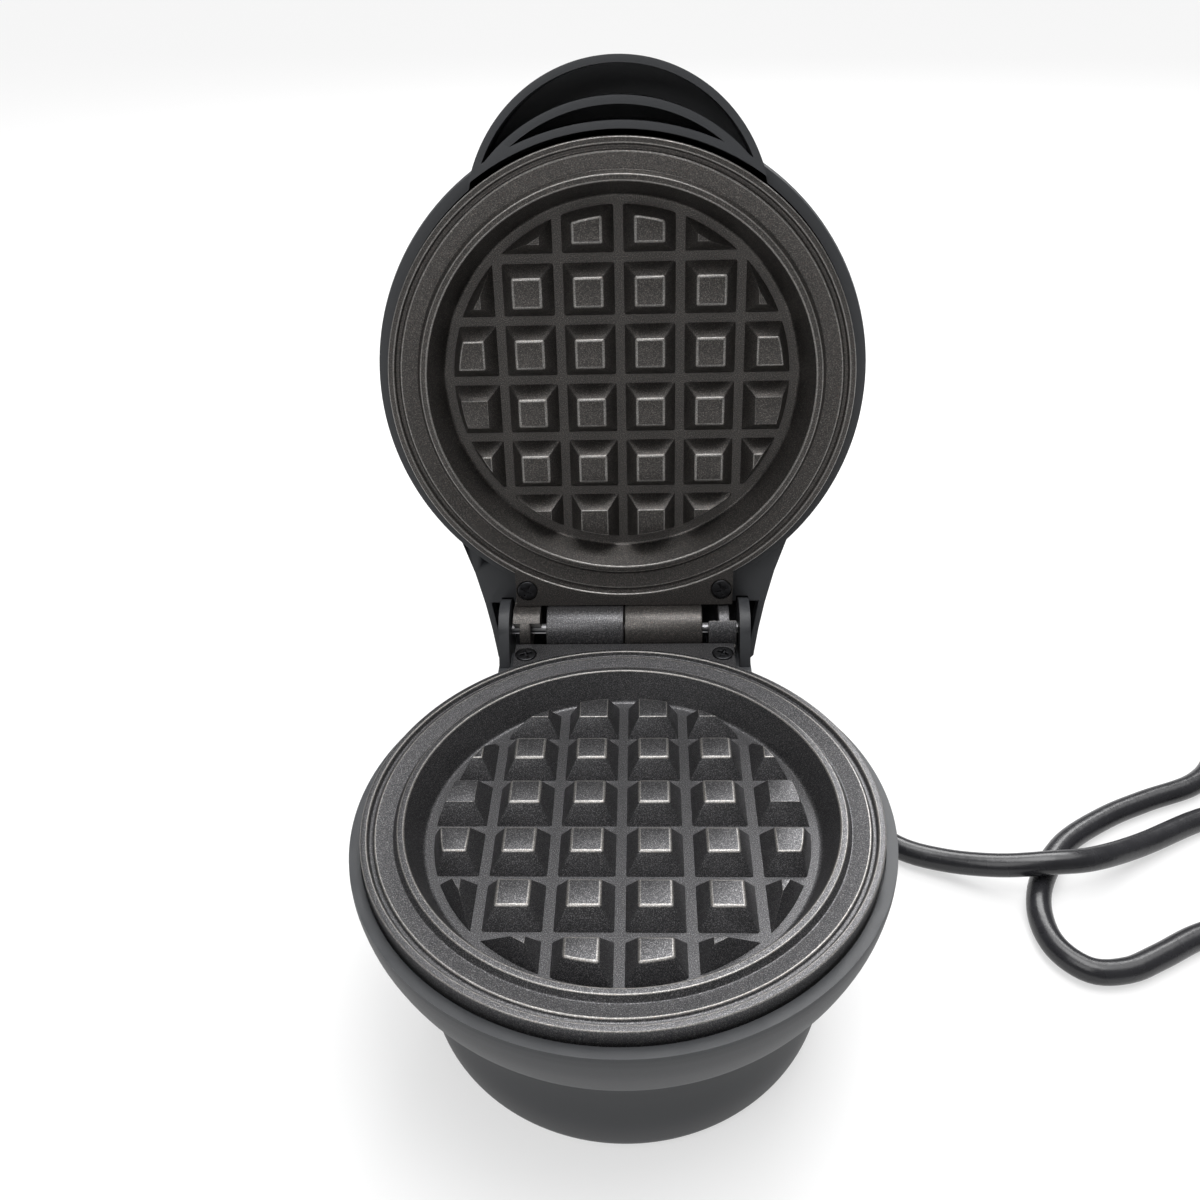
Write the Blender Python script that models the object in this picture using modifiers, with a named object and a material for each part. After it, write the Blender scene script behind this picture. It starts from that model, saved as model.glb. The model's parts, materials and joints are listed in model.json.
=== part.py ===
"""Mini waffle maker with a hinged lid, built as separate pieces at real size.

Metres, +Z up, +Y towards the hinge. The origin lies on the table under the middle
of the object, which stands with its lid open on its stop. Base and lid pieces are
modelled in one plate frame: its origin is the middle of a plate's grid floor, +Z is
the cooking side, and the lid's copy of that frame is turned over and tilted open.
"""
import math

import bmesh
import bpy
from mathutils import Matrix, Vector

# Clearances
seat_gap = 0.0003
running_gap = 0.0003
cut_overrun = 0.0020
embed = 0.0006

# Cooking plate casting, lower and upper alike
floor_radius = 0.0470
well_run = 0.0038
well_lip_height = 0.0076
ledge_width = 0.0018
land_rise = 0.0008
land_rise_run = 0.0004
land_width = 0.0050
groove_width = 0.0011
groove_depth = 0.0008
bead_width = 0.0014
bead_rise = 0.0002
bead_chamfer = 0.0004
skirt_bottom = 0.0030
skirt_wall = 0.0015
plate_wall = 0.0022
grid_pitch = 0.0156
grid_count = 6
grid_shift = 0.0005
valley_width = 0.0024
tooth_taper = 0.0059
tooth_height = 0.0054
tooth_margin = 0.0025
tooth_circle_run = 0.0021
tab_half_width = 0.0305
tab_drop = 0.0002
tab_thickness = 0.0034
stud_radius = 0.0020
stud_length = 0.0108

# Hinge
closed_gap = 0.0012
barrel_radius = 0.0055
barrel_half_length = 0.0219
knuckle_gap = 0.0018
knuckle_width = 0.0076
knuckle_stem_start = 0.0027
knuckle_stem_width = 0.0031
knuckle_stem_step = 0.0002
knuckle_low_deg = -100.0
knuckle_high_deg = 57.0
pin_radius = 0.0015
pin_end_depth = 0.0012
open_deg = 98.4

# Plate screws
plate_screw_side_inset = 0.0032
plate_screw_back_inset = 0.0067
screw_head_radius = 0.00275
screw_head_height = 0.0010
screw_shank_radius = 0.0015
screw_length = 0.0095
screw_recess_depth = 0.0009
cross_length = 0.0032
cross_width = 0.0007
cross_depth = 0.0006
screw_turn_left = 23.0
screw_turn_right = 63.0

# Housing rims, shared by base and lid
rim_wall = 0.0026
plate_bore_gap = 0.0004
ledge_overlap = 0.0002
post_radius = 0.0036
post_length = 0.0170

# Lower housing
base_wall = 0.0026
base_height = 0.0554
bowl_radius_shares = (1.0, 1.002, 0.986, 0.942, 0.876, 0.813, 0.783, 0.784, 0.798, 0.791, 0.775, 0.754)
bowl_depth_shares = (0.0, 0.045, 0.153, 0.289, 0.402, 0.493, 0.569, 0.668, 0.818, 0.921, 0.977, 1.0)
foot_stand = 0.0011
block_side_step = 0.0002
block_overhang = 0.0015
block_front = 0.0300
block_depth = 0.0300
block_depth_shares = (0.42, 0.75, 1.0)
block_reach_shares = (1.0, 0.87, 0.55)
block_wall = 0.0026
deck_thickness = 0.0042
ear_gap = 0.0009
ear_thickness = 0.0029
ear_radius = 0.0085
ear_reach = 0.0118
ear_foot = 0.0045
ear_clearance = 0.0006
lead_slot_half_width = 0.0060
lead_slot_height = 0.0052

# Base cover, its screws and the feet
cover_thickness = 0.0016
cover_rim_wall = 0.0010
cover_ledge_width = 0.0014
cover_ledge_height = 0.0018
cover_recess = 0.0027
cover_rim_gap = 0.0003
cover_screw_inset = 0.0057
cover_screw_count = 3
cover_post_radius = 0.0042
cover_post_length = 0.0190
cover_post_rib = 0.0080
cover_screw_head_radius = 0.0028
cover_screw_length = 0.0100
vent_count = 10
vent_circle = 0.0270
vent_radius = 0.0022
foot_radius = 0.0044
foot_edge = 0.0002
foot_rear_deg = 13.0
foot_front_deg = 52.0

# Lid housing
lid_wall = 0.0017
lid_depth = 0.0340
dome_radius_shares = (1.0, 1.008, 0.998, 0.969, 0.906, 0.795, 0.630, 0.394, 0.0)
dome_depth_shares = (0.0, 0.095, 0.257, 0.446, 0.635, 0.797, 0.905, 0.973, 1.0)
neck_overhang = 0.0135
neck_front = 0.0300
neck_side_wrap = 0.0025
neck_width_shares = (1.323, 1.217, 1.071, 1.0)
neck_root_y = 0.0430
neck_waist_y = 0.0620
neck_corner = 0.0022
neck_lip = 0.0087
neck_lip_step = 0.0005
neck_depth_shares = (0.18, 0.40, 0.60, 0.76, 0.86)
neck_reach_shares = (1.0, 0.93, 0.76, 0.47, 0.0)
lid_deck_step = 0.0006

# Handle
handle_radius = 0.0372
handle_reach = 0.0142
handle_rim_step = 0.0035
handle_wall = 0.0017
handle_depth = 0.0210
handle_radius_shares = (1.0, 1.0, 0.96, 0.85, 0.0)
handle_depth_shares = (0.0, 0.55, 0.78, 0.93, 1.0)
handle_pocket_depth = 0.0145
inner_rib_step = 0.0003
inner_rib_wall = 0.0018
middle_rib_radius = 0.0431
middle_rib_reach = 0.0057
middle_rib_wall = 0.0019

# Heating elements and reflectors
element_radius = 0.00270
element_inset = 0.0140
element_gap_deg = 20.0
element_bend_radius = 0.0042
element_leg = 0.0085
reflector_wall = 0.0006
reflector_inset = 0.0015
reflector_slope = 0.0018
reflector_drop = 0.0063
reflector_hole_gap = 0.0008
reflector_leg_hole_radius = 0.0041
nut_radius = 0.0042
nut_thickness = 0.0026

# Thermostat, thermal fuse, terminal block and leads
thermostat_radius = 0.0080
thermostat_height = 0.0068
thermostat_x = -0.0160
thermostat_y = -0.0120
thermostat_tab_width = 0.0048
thermostat_tab_thickness = 0.0008
thermostat_tab_length = 0.0060
fuse_radius = 0.0021
fuse_length = 0.0170
fuse_x = 0.0170
fuse_y = -0.0120
block_body_width = 0.0240
block_body_depth = 0.0110
block_body_height = 0.0100
block_body_y = 0.0200
block_screw_radius = 0.0022
block_screw_height = 0.0012
block_far_share = 2.0
block_near_share = 0.6
block_low_share = 0.5
block_mid_share = 0.7
block_high_share = 0.75
lead_radius = 0.0009
lead_spacing = 0.0060
sleeve_radius = 0.0017
sleeve_y_shares = (-2.35, -1.55, -0.7, 0.3, 1.3, 2.1, 2.5, 3.05, 3.9)
sleeve_z_shares = (-2.9, -2.35, -1.85, -1.6, -1.35, -0.6, 0.5, 1.6, 2.6)

# Indicator
lens_radius = 0.0030
lens_flange_radius = 0.0042
lens_flange_thickness = 0.0010
lens_proud = 0.0010
lens_y = -0.0120
lamp_radius = 0.0022
lamp_length = 0.0085

# Mains cord
cord_radius = 0.0033
cord_exit_height = 0.0140
relief_neck_radius = 0.0042
relief_flange_radius = 0.0051
relief_flange_thickness = 0.0024
relief_collar_radius = 0.0054
relief_collar_thickness = 0.0030
relief_length = 0.0260
relief_tip_radius = 0.0040
coil_mid_radius = 0.0345
coil_pitch = 0.0074
coil_layer = 0.0072
coil_turns = 1.5
coil_points_per_turn = 24
coil_centre = (0.2050, -0.0245)
cord_crossing_rise = 0.0073
tail_reach = 0.0340
tail_aside = 0.0045
tail_bend_reach = 0.0180
tail_bend_aside = 0.0010

# Plug
plug_length = 0.0290
plug_width = 0.0240
plug_height = 0.0125
plug_tail_length = 0.0140
plug_tail_radius = 0.0047
blade_length = 0.0170
blade_width = 0.0063
blade_thickness = 0.0015
blade_spacing = 0.0127

# Facet counts
round_steps = 40
small_steps = 14
tiny_steps = 8

# Derived sizes of the plate
well_lip_radius = floor_radius + well_run
ledge_radius = well_lip_radius + ledge_width
land_inner_radius = ledge_radius + land_rise_run
land_outer_radius = land_inner_radius + land_width
land_height = well_lip_height + land_rise
bead_inner_radius = land_outer_radius + groove_width
bead_outer_radius = bead_inner_radius + bead_width
bead_height = land_height + bead_rise
tooth_base_width = grid_pitch - valley_width
tooth_top_width = tooth_base_width - tooth_taper
tooth_circle_base_radius = floor_radius - tooth_margin
tooth_circle_top_radius = tooth_circle_base_radius - tooth_circle_run
plate_bore = bead_outer_radius + plate_bore_gap
rim_radius = plate_bore + rim_wall
tab_back = rim_radius
tab_top = land_height - tab_drop
plate_screw_x = tab_half_width - plate_screw_side_inset
plate_screw_y = tab_back - plate_screw_back_inset

# Derived places of the hinge
hinge_y = tab_back + barrel_radius + seat_gap
hinge_z = bead_height + closed_gap / 2
knuckle_inner_x = barrel_half_length + knuckle_gap
knuckle_outer_x = knuckle_inner_x + knuckle_width
knuckle_stem_inner_x = knuckle_inner_x + knuckle_stem_start
knuckle_stem_outer_x = knuckle_stem_inner_x + knuckle_stem_width
knuckle_stem_radius = barrel_radius - knuckle_stem_step
ear_inner_x = knuckle_outer_x + ear_gap
ear_outer_x = ear_inner_x + ear_thickness
ear_front = hinge_y - ear_reach

# Derived sizes of the housings
housing_top = tab_top - tab_thickness - seat_gap
ledge_height = skirt_bottom - seat_gap
ledge_bore = bead_outer_radius - skirt_wall - ledge_overlap
base_bottom = housing_top - base_height
plate_height = foot_stand - base_bottom
block_half_width = ear_outer_x + block_side_step
block_back = rim_radius + block_overhang
cover_bore = rim_radius * bowl_radius_shares[-1] - cover_rim_wall
cover_ledge_bore = cover_bore - cover_ledge_width
cover_screw_circle = cover_bore - cover_screw_inset
foot_circle = cover_bore - cover_rim_gap - foot_edge - foot_radius
neck_back = hinge_y + neck_overhang
neck_lip_y = rim_radius + neck_lip_step
lid_deck_back = neck_lip_y - lid_deck_step
handle_centre_y = rim_radius + handle_reach - handle_radius
handle_rim = housing_top + handle_rim_step
inner_rib_radius = rim_radius + inner_rib_step
rib_bore = inner_rib_radius - inner_rib_wall
middle_rib_centre_y = rim_radius + middle_rib_reach - middle_rib_radius
element_ring_radius = floor_radius - element_inset
reflector_radius = floor_radius - reflector_inset

# Derived places of the two bodies
open_cos = math.cos(math.radians(open_deg))
open_sin = math.sin(math.radians(open_deg))
shoulder_radius = rim_radius * dome_radius_shares[7]
shoulder_depth = lid_depth * dome_depth_shares[7] - housing_top
lid_back = hinge_y - (hinge_y + shoulder_radius) * open_cos + (hinge_z + shoulder_depth) * open_sin
plate_y = -(lid_back - rim_radius) / 2
cover_top = base_bottom + cover_recess - seat_gap
cover_underside = cover_top - cover_thickness
table = -plate_height
element_z = -plate_wall - seat_gap - element_radius
reflector_z = -plate_wall - seat_gap - reflector_drop
cord_exit_z = table + cord_exit_height
drum_radius = rim_radius * max(bowl_radius_shares[8:10])
waist_radius = rim_radius * min(bowl_radius_shares[6:10])


def clear_scene():
    """Empty the file of objects, so that the script can run again."""
    for old in list(bpy.data.objects):
        bpy.data.objects.remove(old, do_unlink=True)


def make_collection(name):
    """A new collection linked to the scene."""
    collection = bpy.data.collections.new(name)
    bpy.context.scene.collection.children.link(collection)
    return collection


clear_scene()
parts = make_collection("mini_waffle_maker")
cutters = make_collection("cutters")


def make_frame(name, parent, matrix):
    """An empty that carries the pieces of one body."""
    empty = bpy.data.objects.new(name, None)
    parts.objects.link(empty)
    empty.parent = parent
    empty.matrix_local = matrix
    return empty


base_frame = make_frame("base_frame", None, Matrix.Translation((0, plate_y, plate_height)))
lid_pivot = make_frame(
    "lid_pivot", base_frame, Matrix.Translation((0, hinge_y, hinge_z)) @ Matrix.Rotation(-math.radians(open_deg), 4, "X")
)
lid_frame = make_frame(
    "lid_frame", lid_pivot, Matrix.Translation((0, -hinge_y, hinge_z)) @ Matrix.Rotation(math.pi, 4, "Y")
)


def material(name, colour, roughness, metallic=0):
    """A Principled material."""
    made = bpy.data.materials.new(name)
    made.use_nodes = True
    shader = made.node_tree.nodes["Principled BSDF"]
    shader.inputs["Base Color"].default_value = (*colour, 1)
    shader.inputs["Roughness"].default_value = roughness
    shader.inputs["Metallic"].default_value = metallic
    made.diffuse_color = (*colour, 1)
    return made


housing_plastic = material("housing_plastic", (0.040, 0.042, 0.046), 0.55)
plate_coating = material("plate_coating", (0.085, 0.083, 0.082), 0.42, 0.6)
black_steel = material("black_steel", (0.020, 0.020, 0.022), 0.35, 0.8)
bright_steel = material("bright_steel", (0.55, 0.55, 0.56), 0.30, 1)
sheet_aluminium = material("sheet_aluminium", (0.70, 0.70, 0.71), 0.38, 1)
foot_rubber = material("foot_rubber", (0.030, 0.030, 0.030), 0.80)
cord_pvc = material("cord_pvc", (0.018, 0.018, 0.020), 0.32)
white_ceramic = material("white_ceramic", (0.80, 0.79, 0.75), 0.50)
lead_sleeving = material("lead_sleeving", (0.74, 0.72, 0.66), 0.70)
lens_amber = material("lens_amber", (0.75, 0.22, 0.05), 0.15)
lamp_glass = material("lamp_glass", (0.85, 0.80, 0.74), 0.10)


def link(name, mesh, frame, finish):
    """A named piece in the frame of its body."""
    piece = bpy.data.objects.new(name, mesh)
    parts.objects.link(piece)
    piece.parent = frame
    mesh.materials.clear()
    mesh.materials.append(finish)
    mesh.shade_smooth()
    mesh.set_sharp_from_angle(angle=math.radians(35))
    return piece


def evaluated(piece):
    """The piece's evaluated mesh, with loose caps welded on."""
    depsgraph = bpy.context.evaluated_depsgraph_get()
    mesh = bpy.data.meshes.new_from_object(piece.evaluated_get(depsgraph))
    shape = bmesh.new()
    shape.from_mesh(mesh)
    bmesh.ops.remove_doubles(shape, verts=shape.verts, dist=seat_gap / 100)
    shape.to_mesh(mesh)
    shape.free()
    bpy.data.objects.remove(piece, do_unlink=True)
    return mesh


def turned(profile, steps=round_steps):
    """A profile of (radius, height) points turned about Z, top to bottom down its outside."""
    mesh = bpy.data.meshes.new("profile")
    points = [(radius, 0, height) for radius, height in profile]
    on_axis = profile[0][0] == 0 and profile[-1][0] == 0
    edges = [(i, i + 1) for i in range(len(points) - 1)]
    if not on_axis:
        edges.append((len(points) - 1, 0))
    mesh.from_pydata(points, edges, [])
    shape = bpy.data.objects.new("profile", mesh)
    parts.objects.link(shape)
    screw = shape.modifiers.new("turn", "SCREW")
    screw.axis = "Z"
    screw.steps = steps
    screw.render_steps = steps
    screw.use_merge_vertices = True
    screw.merge_threshold = seat_gap / 100
    mesh = evaluated(shape)
    flat = bmesh.new()
    flat.from_mesh(mesh)
    poles = [v for v in flat.verts if v.co.xy.length < seat_gap / 100 and len(v.link_faces) > 2]
    bmesh.ops.dissolve_verts(flat, verts=poles)
    bmesh.ops.recalc_face_normals(flat, faces=flat.faces)
    flat.to_mesh(mesh)
    flat.free()
    return mesh


def prism(outline, low, high, along="Z"):
    """A flat outline made as thick as from low to high, along Z, or along X with (y, z) points."""
    curve = bpy.data.curves.new("outline", "CURVE")
    curve.dimensions = "2D"
    curve.fill_mode = "BOTH"
    curve.extrude = (high - low) / 2
    spline = curve.splines.new("POLY")
    spline.points.add(len(outline) - 1)
    for point, (u, v) in zip(spline.points, outline):
        point.co = (u, v, 0, 1)
    spline.use_cyclic_u = True
    shape = bpy.data.objects.new("outline", curve)
    parts.objects.link(shape)
    bpy.context.view_layer.update()
    mesh = evaluated(shape)
    mesh.transform(Matrix.Translation((0, 0, (high + low) / 2)))
    if along == "X":
        mesh.transform(Matrix(((0, 0, 1, 0), (1, 0, 0, 0), (0, 1, 0, 0), (0, 0, 0, 1))))
    return mesh


def box(low, high):
    """A box between two corners."""
    shape = bmesh.new()
    bmesh.ops.create_cube(shape, size=1)
    size = Vector(high) - Vector(low)
    bmesh.ops.scale(shape, vec=size, verts=shape.verts)
    bmesh.ops.translate(shape, vec=(Vector(high) + Vector(low)) / 2, verts=shape.verts)
    mesh = bpy.data.meshes.new("box")
    shape.to_mesh(mesh)
    shape.free()
    return mesh


def rod(start, end, radius, end_radius=None, steps=small_steps):
    """A round bar or cone between two points."""
    start, end = Vector(start), Vector(end)
    shape = bmesh.new()
    bmesh.ops.create_cone(
        shape,
        cap_ends=True,
        segments=steps,
        radius1=radius,
        radius2=radius if end_radius is None else end_radius,
        depth=(end - start).length,
    )
    mesh = bpy.data.meshes.new("rod")
    shape.to_mesh(mesh)
    shape.free()
    turn = (end - start).to_track_quat("Z", "Y").to_matrix().to_4x4()
    mesh.transform(Matrix.Translation((start + end) / 2) @ turn)
    return mesh


def tube(points, radius, resolution=1):
    """A round tube with filled caps through the points."""
    curve = bpy.data.curves.new("route", "CURVE")
    curve.dimensions = "3D"
    curve.bevel_depth = radius
    curve.bevel_resolution = resolution
    curve.use_fill_caps = True
    spline = curve.splines.new("POLY")
    spline.points.add(len(points) - 1)
    for point, place in zip(spline.points, points):
        point.co = (*place, 1)
    shape = bpy.data.objects.new("route", curve)
    parts.objects.link(shape)
    bpy.context.view_layer.update()
    return evaluated(shape)


def group(meshes):
    """Several separate solids in one mesh."""
    shape = bmesh.new()
    for mesh in meshes:
        shape.from_mesh(mesh)
    joined = bpy.data.meshes.new("group")
    shape.to_mesh(joined)
    shape.free()
    return joined


def boolean(piece, tool_mesh, operation):
    """Cut, join or intersect a piece with a hidden tool in the same frame."""
    tool = bpy.data.objects.new(piece.name + "_tool", tool_mesh)
    cutters.objects.link(tool)
    tool.parent = piece.parent
    tool.hide_render = True
    tool.display_type = "WIRE"
    step = piece.modifiers.new(operation.lower(), "BOOLEAN")
    step.operation = operation
    step.solver = "EXACT"
    step.object = tool
    return tool


def cut(piece, tool_mesh):
    return boolean(piece, tool_mesh, "DIFFERENCE")


def join(piece, tool_mesh):
    return boolean(piece, tool_mesh, "UNION")


def intersect(piece, tool_mesh):
    return boolean(piece, tool_mesh, "INTERSECT")


def arc(centre_x, centre_y, radius, start_deg, end_deg, count):
    """Points along an arc, both ends included."""
    angles = [math.radians(start_deg + (end_deg - start_deg) * i / (count - 1)) for i in range(count)]
    return [(centre_x + radius * math.cos(a), centre_y + radius * math.sin(a)) for a in angles]


def inset(profile, wall):
    """A profile moved inwards by a wall, each point along its mean normal."""
    moved = []
    for i, (radius, height) in enumerate(profile):
        before = profile[max(i - 1, 0)]
        after = profile[min(i + 1, len(profile) - 1)]
        along = Vector((after[0] - before[0], after[1] - before[1])).normalized()
        moved.append((max(radius + along.y * wall, 0), height - along.x * wall))
    return moved


def smooth_route(knots, count):
    """Points at even steps along a smooth curve through the knots."""
    knots = [Vector(k) for k in knots]
    ends = [2 * knots[0] - knots[1], *knots, 2 * knots[-1] - knots[-2]]
    fine = []
    per_span = 40
    for a, b, c, d in zip(ends, ends[1:], ends[2:], ends[3:]):
        for i in range(per_span):
            t = i / per_span
            fine.append(
                0.5 * (2 * b + (c - a) * t + (2 * a - 5 * b + 4 * c - d) * t * t + (3 * b - a - 3 * c + d) * t * t * t)
            )
    fine.append(knots[-1])
    reach = [0]
    for a, b in zip(fine, fine[1:]):
        reach.append(reach[-1] + (b - a).length)
    route = []
    index = 0
    for i in range(count):
        wanted = reach[-1] * i / (count - 1)
        while index < len(fine) - 2 and reach[index + 1] < wanted:
            index += 1
        share = (wanted - reach[index]) / (reach[index + 1] - reach[index])
        route.append(fine[index].lerp(fine[index + 1], share))
    return route


def length_of(points):
    return sum((b - a).length for a, b in zip(points, points[1:]))


# Cooking plates


def clipped_teeth(frame):
    """The grid of blunt pyramids, clipped by the cone of the round floor."""
    draft_share = (tooth_base_width - tooth_top_width) / 2 / tooth_height
    sunk_width = tooth_base_width + 2 * draft_share * embed
    corner_share = math.sqrt(0.5)
    teeth = []
    middle = (grid_count - 1) / 2
    for row in range(grid_count):
        for column in range(grid_count):
            if row in (0, grid_count - 1) and column in (0, grid_count - 1):
                continue
            x = (column - middle) * grid_pitch
            y = (row - middle) * grid_pitch - grid_shift
            tooth = rod(
                (0, 0, -embed), (0, 0, tooth_height), sunk_width * corner_share, tooth_top_width * corner_share, steps=4
            )
            tooth.transform(Matrix.Translation((x, y, 0)) @ Matrix.Rotation(math.pi / 4, 4, "Z"))
            teeth.append(tooth)
    grid = bpy.data.objects.new("teeth", group(teeth))
    cutters.objects.link(grid)
    grid.parent = frame
    grid.hide_render = True
    grid.display_type = "WIRE"
    cone_share = (tooth_circle_base_radius - tooth_circle_top_radius) / tooth_height
    cone = rod(
        (0, 0, -2 * embed),
        (0, 0, tooth_height + embed),
        tooth_circle_base_radius + 2 * embed * cone_share,
        tooth_circle_top_radius - embed * cone_share,
        steps=round_steps,
    )
    intersect(grid, cone)
    return grid


def knuckle_sector():
    """The wide half of a knuckle, on the side of its own plate."""
    count = 12
    points = [(hinge_y, hinge_z)]
    for i in range(count + 1):
        angle = math.radians(knuckle_low_deg + (knuckle_high_deg - knuckle_low_deg) * i / count)
        points.append((hinge_y - barrel_radius * math.cos(angle), hinge_z + barrel_radius * math.sin(angle)))
    return prism(points, knuckle_inner_x, knuckle_outer_x, along="X")


def cooking_plate(name, frame):
    """The casting: dished disc, teeth, tab, half of the hinge barrel, knuckle and stud."""
    wall_share = (well_lip_radius - floor_radius) / well_lip_height
    back_offset = plate_wall * math.sqrt(1 + wall_share**2)
    rim_underside = land_height - groove_depth - plate_wall
    profile = [
        (0, 0),
        (floor_radius, 0),
        (well_lip_radius, well_lip_height),
        (ledge_radius, well_lip_height),
        (land_inner_radius, land_height),
        (land_outer_radius, land_height),
        (land_outer_radius, land_height - groove_depth),
        (bead_inner_radius, land_height - groove_depth),
        (bead_inner_radius, bead_height),
        (bead_outer_radius - bead_chamfer, bead_height),
        (bead_outer_radius, bead_height - bead_chamfer),
        (bead_outer_radius, skirt_bottom),
        (bead_outer_radius - skirt_wall, skirt_bottom),
        (bead_outer_radius - skirt_wall, rim_underside),
        (floor_radius + wall_share * rim_underside + back_offset, rim_underside),
        (floor_radius - wall_share * plate_wall + back_offset, -plate_wall),
        (0, -plate_wall),
    ]
    plate = link(name, turned(profile), frame, plate_coating)

    teeth = clipped_teeth(frame)
    step = plate.modifiers.new("teeth", "BOOLEAN")
    step.operation = "UNION"
    step.object = teeth

    tab_arc_radius = bead_outer_radius - embed
    half_arc = math.degrees(math.asin(tab_half_width / tab_arc_radius))
    tab_outline = [(tab_half_width, tab_back), (-tab_half_width, tab_back)]
    tab_outline += arc(0, 0, tab_arc_radius, 90 + half_arc, 90 - half_arc, 13)
    tab_bottom = tab_top - tab_thickness
    join(plate, prism(tab_outline, tab_bottom, tab_top))

    web_front = tab_back - embed
    barrel_inner_x = running_gap / 2
    join(plate, box((-barrel_half_length, web_front, tab_bottom), (-barrel_inner_x, hinge_y, tab_top - embed)))
    join(plate, rod((-barrel_half_length, hinge_y, hinge_z), (-barrel_inner_x, hinge_y, hinge_z), barrel_radius))
    join(plate, box((knuckle_inner_x, web_front, tab_bottom), (knuckle_outer_x, hinge_y, tab_top - embed)))
    join(plate, knuckle_sector())
    join(
        plate,
        rod(
            (knuckle_stem_inner_x, hinge_y, hinge_z),
            (knuckle_stem_outer_x, hinge_y, hinge_z),
            knuckle_stem_radius,
        ),
    )
    join(plate, rod((0, 0, -plate_wall - stud_length), (0, 0, -plate_wall + embed), stud_radius, steps=tiny_steps))

    bore_end = knuckle_outer_x + cut_overrun
    cut(plate, rod((-bore_end, hinge_y, hinge_z), (bore_end, hinge_y, hinge_z), pin_radius + running_gap))
    holes = []
    for side in (-1, 1):
        x = side * plate_screw_x
        seat = tab_top - screw_recess_depth
        hole = [
            (0, tab_top + cut_overrun),
            (screw_head_radius + seat_gap, tab_top + cut_overrun),
            (screw_head_radius + seat_gap, seat),
            (screw_shank_radius + seat_gap, seat),
            (screw_shank_radius + seat_gap, tab_bottom - cut_overrun),
            (0, tab_bottom - cut_overrun),
        ]
        mesh = turned(hole, small_steps)
        mesh.transform(Matrix.Translation((x, plate_screw_y, 0)))
        holes.append(mesh)
    cut(plate, group(holes))
    return plate


def cross_screw(head_radius, length):
    """A round-head screw standing head up, its seat at the origin."""
    profile = [
        (0, screw_head_height),
        (head_radius - screw_head_height / 2, screw_head_height),
        (head_radius, screw_head_height / 2),
        (head_radius, 0),
        (screw_shank_radius, 0),
        (screw_shank_radius, -length),
        (0, -length),
    ]
    screw = bpy.data.objects.new("screw", turned(profile, small_steps))
    parts.objects.link(screw)
    top = screw_head_height
    half, thin = cross_length / 2, cross_width / 2
    tools = [
        cut(screw, box((-half, -thin, top - cross_depth), (half, thin, top + cut_overrun))),
        cut(screw, box((-thin, -half, top - cross_depth), (thin, half, top + cut_overrun))),
    ]
    mesh = evaluated(screw)
    for tool in tools:
        bpy.data.objects.remove(tool, do_unlink=True)
    return mesh


def placed(mesh, matrix):
    """A moved copy of a mesh."""
    copy = mesh.copy()
    copy.transform(matrix)
    return copy


def plate_screws(plate, frame):
    """The two screws through a plate's rear tab."""
    screw = cross_screw(screw_head_radius, screw_length)
    seat = tab_top - screw_recess_depth + seat_gap
    for side, way, turn in (("left", -1, screw_turn_left), ("right", 1, screw_turn_right)):
        place = Matrix.Translation((way * plate_screw_x, plate_screw_y, seat))
        mesh = placed(screw, place @ Matrix.Rotation(math.radians(turn), 4, "Z"))
        link(f"{plate}_plate_screw_{side}", mesh, frame, black_steel)


def plate_screw_posts(housing):
    """The two posts under a plate's rear tab."""
    low, high = housing_top - post_length, housing_top - embed
    for side in (-1, 1):
        x = side * plate_screw_x
        join(housing, rod((x, plate_screw_y, low), (x, plate_screw_y, high), post_radius))


def plate_screw_holes(housing):
    """The posts' blind holes, open at the top."""
    low, high = housing_top - screw_length - cut_overrun, housing_top + cut_overrun
    for side in (-1, 1):
        x = side * plate_screw_x
        bore = screw_shank_radius + seat_gap
        cut(housing, rod((x, plate_screw_y, low), (x, plate_screw_y, high), bore, steps=tiny_steps))


# Lower housing


def bowl_profile():
    return [
        (rim_radius * r, housing_top - base_height * d) for r, d in zip(bowl_radius_shares, bowl_depth_shares)
    ]


def block_outline(wall, top):
    """The rear block's outline in (y, z), moved inwards by a wall."""
    points = [(block_front, top), (block_back - wall, top)]
    for depth, reach in zip(block_depth_shares, block_reach_shares):
        y = block_front + (block_back - block_front) * reach - wall
        points.append((y, housing_top - block_depth * depth + wall))
    points.append((block_front, housing_top - block_depth + wall))
    return points


def ear_outline():
    """An ear in (y, z): a round lug about the pin on a web that stands on the block."""
    foot = housing_top - ear_foot
    start = arc(hinge_y, hinge_z, ear_radius, 160, -90, 15)
    return [(ear_front, foot), (ear_front, housing_top)] + start + [(block_back, housing_top - ear_foot)]


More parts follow.
